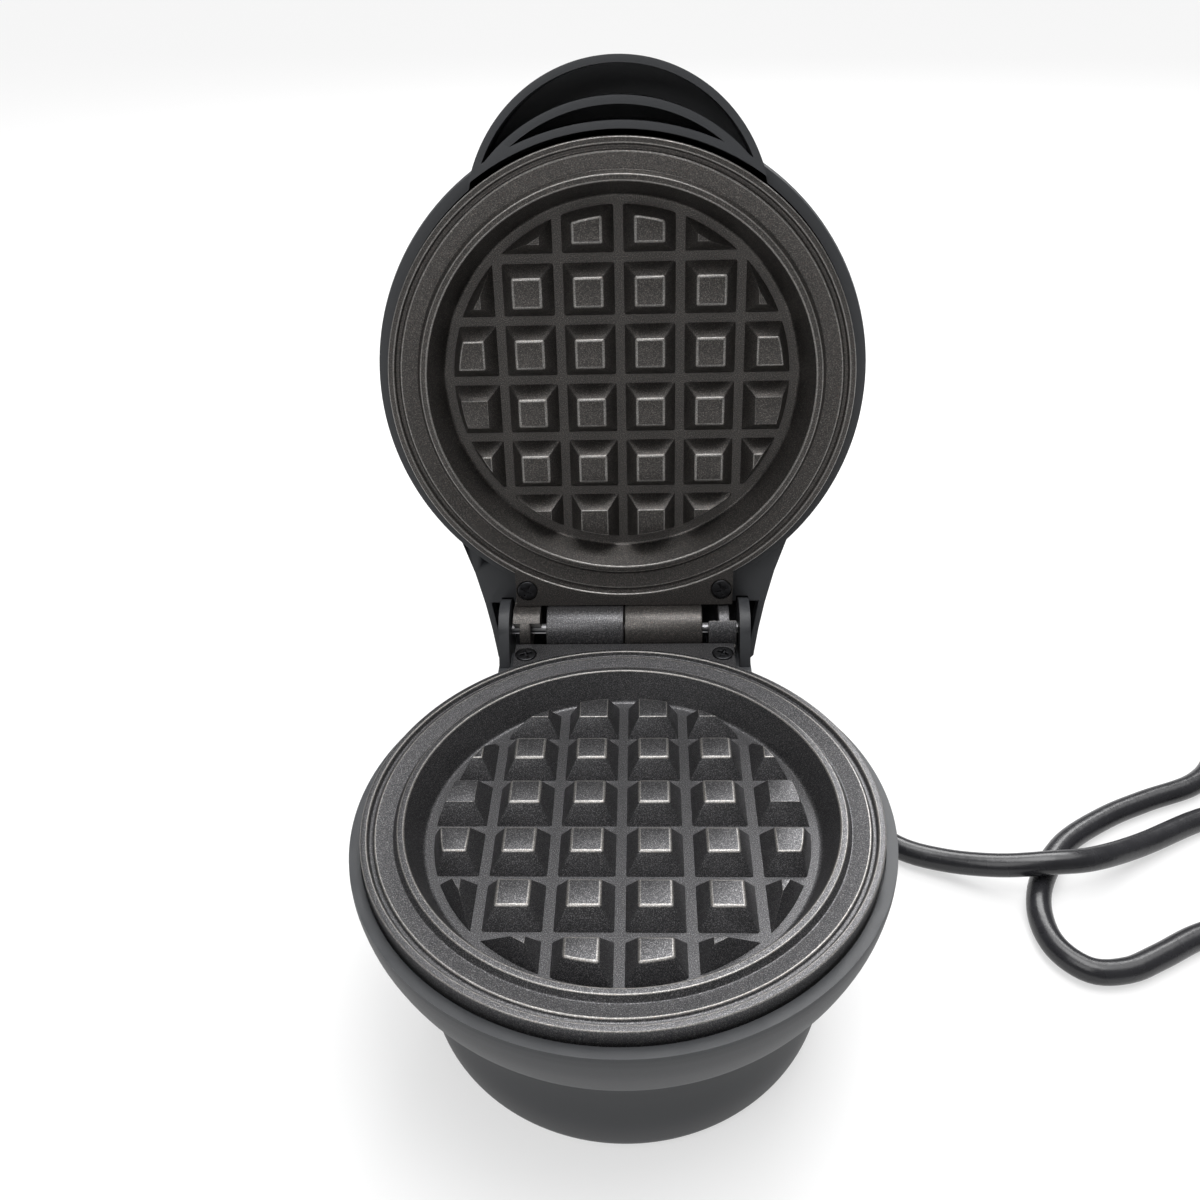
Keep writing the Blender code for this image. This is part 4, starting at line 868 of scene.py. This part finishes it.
def tooth_cone():
    """The cone that clips the teeth round the floor."""
    share = (tooth_circle_base_radius - tooth_circle_top_radius) / tooth_height
    low, high = -tooth_cone_overrun, tooth_height + tooth_cone_overrun
    profile = [
        (0, high),
        (tooth_circle_base_radius - share * high, high),
        (tooth_circle_base_radius - share * low, low),
        (0, low),
    ]
    return lathe(profile, 144)


def teeth():
    """The whole grid, without its four corners."""
    meshes = []
    middle = (grid_count - 1) / 2
    for row in range(grid_count):
        for column in range(grid_count):
            if row in (0, grid_count - 1) and column in (0, grid_count - 1):
                continue
            x = (column - middle) * grid_pitch
            y = (row - middle) * grid_pitch - grid_shift
            mesh = tooth(x, y)
            half = tooth_base_width / 2
            if math.hypot(abs(x) + half, abs(y) + half) > tooth_circle_top_radius:
                mesh = combine(mesh, [("INTERSECT", tooth_cone())])
            if mesh.polygons:
                mesh = softened(mesh, tooth_rounding, 3, 25, True)
                # Only the rounded top edges keep the bright edge look, worn coating with a painted highlight;
                # the lower faces go back to the plain coating.
                for face in mesh.polygons:
                    if face.center.z < tooth_height - tooth_rounding:
                        face.material_index = 0
                meshes.append(mesh)
    return joined(meshes)


def dish():
    """The turned part of the plate, with its well, lip, land, groove and bead."""
    profile = [
        (0, 0),
        (floor_radius, 0),
        (lip_inner_radius, lip_height),
        (lip_outer_radius, lip_height),
        (land_inner_radius, land_inner_height),
        (land_outer_radius, land_outer_height),
        (land_outer_radius + groove_side, groove_height),
        (bead_inner_radius - groove_side, groove_height),
        (bead_inner_radius, bead_height),
        (bead_outer_radius, bead_height),
        (bead_outer_radius, skirt_bottom),
        (bead_outer_radius - skirt_wall, skirt_bottom),
        (bead_outer_radius - skirt_wall, rim_underside),
        (lip_inner_radius + lip_wall, rim_underside),
        (floor_radius + plate_wall / 2, -plate_wall),
        (0, -plate_wall),
    ]
    made = []
    for i, radius in enumerate(dish_roundings):
        if not radius:
            made.append(Vector(profile[i]))
            continue
        made += rounded([profile[i - 1], profile[i], profile[i + 1]], radius, 4)[1:-1]
    mesh = lathe([tuple(p) for p in made], 192)
    # Narrow rounded faces above the groove take the bright edge look: worn coating with a painted highlight
    # along the lip, land and bead.
    for face in mesh.polygons:
        points = [mesh.vertices[i].co for i in face.vertices]
        reach = [point.xy.length for point in points]
        rise = [point.z for point in points]
        run = math.hypot(max(reach) - min(reach), max(rise) - min(rise))
        if run < edge_run and min(rise) > groove_height + 0.0002:
            face.material_index = 1
    return mesh


def tab():
    """The flat tab behind the rim, with counterbored screw holes."""
    inner = bead_outer_radius - tab_overlap
    half_arc = math.degrees(math.asin(tab_half_width / inner))
    low, high = tab_top - tab_thickness, tab_top
    shape = bmesh.new()
    columns = []
    for x, y in arc(0, 0, inner, 90 + half_arc, 90 - half_arc, 25):
        column = ((x, y, low), (x, tab_back, low), (x, tab_back, high), (x, y, high))
        columns.append([shape.verts.new(point) for point in column])
    for a, b in zip(columns, columns[1:]):
        for i in range(4):
            j = (i + 1) % 4
            shape.faces.new((a[i], a[j], b[j], b[i]))
    shape.faces.new(columns[0])
    shape.faces.new(columns[-1])
    mesh = mesh_of(shape)
    steps = []
    seat = tab_top - screw_recess_depth
    for side in (-1, 1):
        x, y = side * plate_screw_x, plate_screw_y
        recess = rod((x, y, seat), (x, y, tab_top + cut_overrun), screw_head_radius + seat_gap, 48)
        hole = rod((x, y, 0), (x, y, seat + cut_overrun / 2), screw_shank_radius + seat_gap, 32)
        steps += [("DIFFERENCE", recess), ("DIFFERENCE", hole)]
    # Its rounded edges take the bright edge look, worn coating with a painted highlight.
    return softened(combine(mesh, steps), 0.00035, 2, 38, True)


def hinge_half():
    """The plate's half of the barrel and its T-shaped knuckle."""
    gap = barrel_end_gap
    barrel = rod((-barrel_half_length, hinge_y, hinge_z), (-gap, hinge_y, hinge_z), barrel_radius, 96, 0.0005)
    web_low, web_front = tab_top - tab_thickness, tab_back - web_overlap
    web_top = tab_top - web_step
    web_end = -barrel_half_length + web_step
    barrel_web = box((web_end, web_front, web_low), (-gap - web_step, hinge_y, web_top))
    count = 20
    points = [(hinge_y + knuckle_step, hinge_z)]
    for i in range(count + 1):
        angle = math.radians(knuckle_low_deg + (knuckle_high_deg - knuckle_low_deg) * i / count)
        points.append((hinge_y - barrel_radius * math.cos(angle), hinge_z + barrel_radius * math.sin(angle)))
    wide = prism(points, knuckle_inner_x, knuckle_outer_x, "X")
    web_inner_x, web_outer_x = knuckle_inner_x + knuckle_step, knuckle_outer_x - knuckle_step
    knuckle_web = box((web_inner_x, web_front, web_low), (web_outer_x, hinge_y, web_top))
    stem = rod(
        (knuckle_stem_inner_x, hinge_y, hinge_z),
        (knuckle_stem_outer_x, hinge_y, hinge_z),
        knuckle_stem_radius,
        96,
        0.0004,
    )
    # The webs and the knuckle have the bright edge look on their rounded edges, worn coating with a painted
    # highlight; the barrel and stem are plain coating.
    return [
        barrel,
        softened(barrel_web, 0.0003, edge=True),
        softened(wide, 0.0004, edge=True),
        softened(knuckle_web, 0.0003, edge=True),
        stem,
    ]


plate_mesh = joined([dish(), teeth(), tab(), *hinge_half()])


def cooking_plates():
    """The same casting twice, its rounded edges brighter: worn coating with a painted highlight."""
    copy, look, edge = plate_mesh.copy(), "plate_coating", "plate_edge_wear_and_highlight"
    finish_piece("lower_plate", copy, base_place, "base", look, ["lower_cooking_plate"], 20, edge)
    look = "upper_coating"
    finish_piece("upper_plate", plate_mesh, lid_place, "lid", look, ["upper_cooking_plate"], 20, edge)


cooking_plates()


def plate_screws():
    """Pan-head cross screws in the tabs."""
    outline = [
        (0, screw_head_height),
        (screw_head_radius, screw_head_height * 0.8),
        (screw_head_radius, 0),
        (screw_shank_radius, 0),
        (screw_shank_radius, -screw_length),
        (0, -screw_length),
    ]
    profile = rounded(outline, 0.0006, 4, skip=(3, 4))
    head = lathe([tuple(p) for p in profile], 48)
    half, thin = cross_length / 2, cross_width / 2
    low, high = screw_head_height - cross_depth, screw_head_height + cut_overrun / 2
    cuts = [
        ("DIFFERENCE", box((-half, -thin, low), (half, thin, high))),
        ("DIFFERENCE", box((-thin, -half, low), (thin, half, high))),
        ("DIFFERENCE", rod((0, 0, low - cross_middle_depth), (0, 0, high), cross_width, 24)),
    ]
    screw = softened(combine(head, cuts), 0.00012, 2, 45)
    seat = tab_top - screw_recess_depth + seat_gap
    for plate, place, body in (("lower", base_place, "base"), ("upper", lid_place, "lid")):
        for side, way, turn in (("left", -1, screw_turn_left), ("right", 1, screw_turn_right)):
            spot = Matrix.Translation((way * plate_screw_x, plate_screw_y, seat))
            spot = place @ spot @ Matrix.Rotation(math.radians(turn), 4, "Z")
            node = f"{plate}_plate_screw_{side}"
            finish_piece(f"{node}_fine", screw.copy(), spot, body, "black_steel", [node])


plate_screws()


# Lower housing


def bowl_outer():
    """The smooth outer profile of bowl and drum, from the rim down."""
    shares = zip(bowl_radius_shares, bowl_depth_shares)
    knots = [(rim_radius * r, housing_top - base_height * d) for r, d in shares]
    widest = rim_radius * max(bowl_radius_shares)
    return [(min(p[0], widest), p[1]) for p in smooth_curve(knots, 6)]


def inset(profile, wall):
    """A profile moved inwards by a wall, each point along its mean normal."""
    moved = []
    for i, (radius, height) in enumerate(profile):
        before = profile[max(i - 1, 0)]
        after = profile[min(i + 1, len(profile) - 1)]
        along = Vector((after[0] - before[0], after[1] - before[1])).normalized()
        moved.append((max(radius + along.y * wall, 0), height - along.x * wall))
    return moved


def block_outline(wall, top):
    """The rear block's outline in (y, z)."""
    points = [(block_front, top), (block_back - wall, top)]
    for depth, reach in zip(block_depth_shares, block_reach_shares):
        y = block_front + (block_back - block_front) * reach - wall
        points.append((y, housing_top - block_depth * depth + wall))
    points.append((block_front, housing_top - block_depth + wall))
    return points


def ear_outline():
    """An ear in (y, z): a round lug about the pin on a web that stands on the block."""
    start = arc(hinge_y, hinge_z, ear_radius, 160, -90, 33)
    foot = housing_top - ear_foot
    return [(ear_front, foot), (ear_front, housing_top)] + start + [(block_back, foot)]


def screw_posts():
    """The posts under a plate's rear tab."""
    low, high = housing_top - post_length, housing_top - 2 * seat_gap
    x, y = plate_screw_x, plate_screw_y
    return [("UNION", rod((side * x, y, low), (side * x, y, high), post_radius, 32)) for side in (-1, 1)]


def lower_housing():
    """Bowl on a drum, with the rear block, the ears, the screw posts and the cord hole."""
    profile = bowl_outer()
    outer = [(0, housing_top), *profile, (0, base_bottom)]
    block = rounded(block_outline(0, housing_top - join_drop), 0.006, 6, closed=True, skip=(0, 1, 5))
    block = prism([tuple(p) for p in block], -block_half_width, block_half_width, "X")
    steps = [("UNION", softened(block, 0.0025, 4, 50))]
    for side in (-1, 1):
        low, high = sorted((side * ear_inner_x, side * ear_outer_x))
        steps.append(("UNION", prism(ear_outline(), low, high, "X")))
    inside = block_half_width - block_wall
    room = prism(block_outline(block_wall, housing_top - deck_thickness), -inside, inside, "X")
    steps.append(("DIFFERENCE", room))
    slot_top = housing_top - deck_thickness
    slot_low = (-lead_slot_half_width, block_back - 2 * block_wall, slot_top - lead_slot_height)
    steps.append(("DIFFERENCE", box(slot_low, (lead_slot_half_width, block_back + cut_overrun, slot_top))))
    steps += screw_posts()
    ledge_top = base_bottom + cover_recess
    inner = [(min(r, ledge_bore), z) for r, z in inset(profile, base_wall)]
    inner = [(r, z) for r, z in inner if ledge_top + 3 * cover_ledge_height < z < ledge_height - base_wall]
    cavity = [
        (0, housing_top + cut_overrun),
        (plate_bore, housing_top + cut_overrun),
        (plate_bore, ledge_height),
        (ledge_bore, ledge_height),
        (ledge_bore, ledge_height - base_wall),
        *inner,
        (cover_ledge_bore, ledge_top + cover_ledge_height),
        (cover_ledge_bore, ledge_top),
        (cover_bore, ledge_top),
        (cover_bore, base_bottom - cut_overrun),
        (0, base_bottom - cut_overrun),
    ]
    steps.append(("DIFFERENCE", lathe(cavity, 160)))
    start, end = (-ear_inner_x, hinge_y, hinge_z), (ear_inner_x, hinge_y, hinge_z)
    hinge_room = rod(start, end, barrel_radius + seat_gap, 96)
    start = (0, drum_radius - cord_hole_depth, cord_exit_z)
    end = (0, drum_radius + cut_overrun, cord_exit_z)
    cord_hole = rod(start, end, relief_neck_radius + seat_gap, 48)
    steps += [("DIFFERENCE", hinge_room), ("DIFFERENCE", cord_hole)]
    mesh = softened(combine(lathe(outer, 160), steps), 0.0004, 2, 40)
    finish_piece("lower_shell", mesh, base_place, "base", "housing_plastic", ["lower_housing"], 35)


lower_housing()


# Lid housing


def dome_outer():
    """The smooth outer profile of the dome, from the rim to its middle."""
    shares = zip(dome_radius_shares, dome_depth_shares)
    knots = [(rim_radius * r, housing_top - lid_depth * d) for r, d in shares]
    widest = rim_radius * max(dome_radius_shares)
    lowest = housing_top - lid_depth
    points = [(min(p[0], widest), max(p[1], lowest)) for p in smooth_curve(knots, 6)]
    return points[:-1] + [(0, lowest)]


neck_sections = (
    (0.0300, 0.0500, -0.0255, 0.0090),
    (0.0430, 0.0460, -0.0235, 0.0100),
    (0.0540, 0.0425, -0.0205, 0.0100),
    (0.0640, 0.0402, -0.0160, 0.0090),
    (0.0720, 0.0388, -0.0110, 0.0070),
    (0.0780, 0.0380, -0.0060, 0.0050),
    (0.0812, 0.0376, -0.0015, 0.0035),
    (0.0828, 0.0360, 0.0040, 0.0020),
)


def neck_loft(wall, top):
    """The neck as a loft of sections across Y, each with rounded lower corners."""
    shape = bmesh.new()
    rings = []
    corner_count = 7
    for y, half, depth, corner in neck_sections:
        half, depth, corner = half - wall, depth + wall, max(corner - wall, 0.0005)
        ring = [(-half, top), (-half, depth + corner)]
        ring += arc(-half + corner, depth + corner, corner, 180, 270, corner_count)[1:]
        ring += arc(half - corner, depth + corner, corner, 270, 360, corner_count)
        ring.append((half, top))
        place = min(y, neck_back - wall)
        rings.append([shape.verts.new((x, place, h)) for x, h in ring])
    for a, b in zip(rings, rings[1:]):
        for i in range(len(a)):
            j = (i + 1) % len(a)
            shape.faces.new((a[i], a[j], b[j], b[i]))
    shape.faces.new(rings[0])
    shape.faces.new(rings[-1])
    return mesh_of(shape)


def neck_lip_block():
    """The raised rim behind the deck."""
    half = [(neck_end_half, neck_back), (neck_waist_half, neck_waist_y), (neck_root_half, neck_lip_y)]
    outline = [(-x, y) for x, y in reversed(half)] + half
    return prism([tuple(p) for p in rounded(outline, neck_lip_corner, 5)], neck_lip_low, neck_lip)


def handle_pocket(outer_radius, outer_y, island_radius, island_y):
    """A crescent hollow in the handle, outside the inner rib and the island given."""
    floor, top = handle_rim - handle_pocket_depth, handle_rim + cut_overrun
    low, high = floor - cut_overrun, top + cut_overrun
    mesh = rod((0, -outer_y, floor), (0, -outer_y, top), outer_radius, 128)
    steps = [("DIFFERENCE", rod((0, 0, low), (0, 0, high), inner_rib_radius, 160))]
    if island_radius:
        tool = rod((0, -island_y, low), (0, -island_y, high), island_radius, 128)
        steps.append(("DIFFERENCE", tool))
    return combine(mesh, steps)


def lid_housing():
    """Dome, neck over the hinge and hollow handle with two ribs."""
    profile = dome_outer()
    shares = zip(handle_radius_shares, handle_depth_shares)
    handle = [(handle_radius * r, handle_rim - handle_depth * d) for r, d in shares]
    handle = [(0, handle_rim)] + [tuple(p) for p in smooth_curve(handle, 5)]
    handle = [(max(r, 0), z) for r, z in handle]
    steps = [("UNION", lathe(handle, 144, centre=(0, -handle_centre_y)))]
    steps.append(("UNION", neck_loft(0, housing_top - join_drop)))
    steps.append(("UNION", neck_lip_block()))
    steps.append(("DIFFERENCE", neck_loft(lid_wall, housing_top - deck_thickness)))
    half = [
        (neck_root_half - lid_wall, lid_deck_back),
        (neck_waist_half - lid_wall, neck_waist_y),
        (neck_end_half - lid_wall, neck_back - lid_wall),
    ]
    well = [(-half[0][0], half[0][1])] + half + [(-x, y) for x, y in reversed(half[1:])]
    steps.append(("DIFFERENCE", prism(well, neck_lip_low - 0.0002, neck_lip + cut_overrun)))
    steps += screw_posts()
    inner = [(min(r, ledge_bore), z) for r, z in inset(profile, lid_wall)]
    inner = [(r, z) for r, z in inner if z < ledge_height - lid_wall]
    inner[-1] = (0, inner[-1][1])
    rib_bore = inner_rib_radius - inner_rib_wall
    cavity = [
        (0, handle_rim + cut_overrun),
        (rib_bore, handle_rim + cut_overrun),
        (rib_bore, housing_top),
        (plate_bore, housing_top),
        (plate_bore, ledge_height),
        (ledge_bore, ledge_height),
        (ledge_bore, ledge_height - lid_wall),
        *inner,
    ]
    steps.append(("DIFFERENCE", lathe(cavity, 160)))
    ear_room = ear_radius + ear_clearance
    for side in (-1, 1):
        start = (side * (ear_inner_x - seat_gap), hinge_y, hinge_z)
        end = (side * (ear_outer_x + seat_gap), hinge_y, hinge_z)
        steps.append(("DIFFERENCE", rod(start, end, ear_room, 64)))
    middle = (middle_rib_radius, middle_rib_centre_y)
    outer_pocket = handle_pocket(handle_radius - handle_wall, handle_centre_y, *middle)
    inner_pocket = handle_pocket(middle_rib_radius - middle_rib_wall, middle_rib_centre_y, 0, 0)
    steps += [("DIFFERENCE", outer_pocket), ("DIFFERENCE", inner_pocket)]
    dome_top = housing_top - lid_depth
    bore = lens_radius + seat_gap
    low, high = (0, lens_y, dome_top - cut_overrun), (0, lens_y, dome_top + lens_bore_depth)
    steps.append(("DIFFERENCE", rod(low, high, bore, 48)))
    mesh = softened(combine(lathe([(0, housing_top), *profile], 160), steps), 0.0005, 3, 60)
    finish_piece("lid_shell", mesh, lid_place, "lid", "housing_plastic", ["lid_housing"], 35)


lid_housing()


# Floor, backdrop and light


def floor():
    """A pale table that shows white, with soft shadows."""
    size = 3.0
    plane = thing("floor", box((-size, -size, -0.01), (size, size, 0)))
    material = bpy.data.materials.new("floor")
    material.use_nodes = True
    tree = material.node_tree
    shader = tree.nodes["Principled BSDF"]
    shader.inputs["Roughness"].default_value = 0.9
    shader.inputs["Specular IOR Level"].default_value = 0.0
    glow = tree.nodes.new("ShaderNodeEmission")
    glow.inputs["Strength"].default_value = 1.0
    path = tree.nodes.new("ShaderNodeLightPath")
    pale = tree.nodes.new("ShaderNodeMix")
    pale.data_type = "RGBA"
    pale.inputs[6].default_value = (0.60, 0.60, 0.60, 1)
    pale.inputs[7].default_value = (0.90, 0.90, 0.90, 1)
    glossy, seen, share = (tree.nodes.new("ShaderNodeMath") for _ in range(3))
    glossy.operation = seen.operation = "MAXIMUM"
    share.operation = "MULTIPLY"
    share.inputs[1].default_value = 0.58
    mixed = tree.nodes.new("ShaderNodeMixShader")
    for output, target in (
        (path.outputs["Is Camera Ray"], pale.inputs[0]),
        (pale.outputs[2], shader.inputs["Base Color"]),
        (path.outputs["Is Camera Ray"], glossy.inputs[0]),
        (path.outputs["Is Glossy Ray"], glossy.inputs[1]),
        (glossy.outputs[0], seen.inputs[0]),
        (path.outputs["Is Transmission Ray"], seen.inputs[1]),
        (seen.outputs[0], share.inputs[0]),
        (share.outputs[0], mixed.inputs["Fac"]),
        (shader.outputs[0], mixed.inputs[1]),
        (glow.outputs[0], mixed.inputs[2]),
        (mixed.outputs[0], tree.nodes["Material Output"].inputs["Surface"]),
    ):
        tree.links.new(output, target)
    plane.data.materials.append(material)


def area_light(name, place, aim, width, height, power):
    data = bpy.data.lights.new(name, "AREA")
    data.shape = "RECTANGLE"
    data.size = width
    data.size_y = height
    data.energy = power
    lamp = bpy.data.objects.new(name, data)
    bpy.context.scene.collection.objects.link(lamp)
    lamp.location = place
    lamp.rotation_euler = (Vector(aim) - Vector(place)).to_track_quat("-Z", "Y").to_euler()


def light():
    world = bpy.data.worlds.new("studio")
    bpy.context.scene.world = world
    world.use_nodes = True
    tree = world.node_tree
    background = tree.nodes["Background"]
    background.inputs["Color"].default_value = (1, 1, 1, 1)
    path = tree.nodes.new("ShaderNodeLightPath")
    strength = tree.nodes.new("ShaderNodeMapRange")
    strength.inputs["To Min"].default_value = 0.16
    strength.inputs["To Max"].default_value = 1.0
    tree.links.new(path.outputs["Is Camera Ray"], strength.inputs["Value"])
    tree.links.new(strength.outputs["Result"], background.inputs["Strength"])
    area_light("key", (-0.25, -0.45, 0.70), (0, 0.05, 0.10), 0.5, 0.5, 2.2)
    area_light("top", (0.10, 0.05, 0.95), (0, 0.02, 0.08), 0.6, 0.4, 3)
    area_light("back", (0.20, 0.85, 0.80), (0, 0, 0.06), 0.8, 0.4, 9)
    even = bpy.data.lights.new("even", "SUN")
    even.energy = 2.4
    even.angle = math.radians(60)
    sky = bpy.data.objects.new("even", even)
    bpy.context.scene.collection.objects.link(sky)
    sky.rotation_euler = (math.radians(-12), math.radians(8), 0)


floor()
light()
bpy.context.scene.view_settings.view_transform = "Standard"
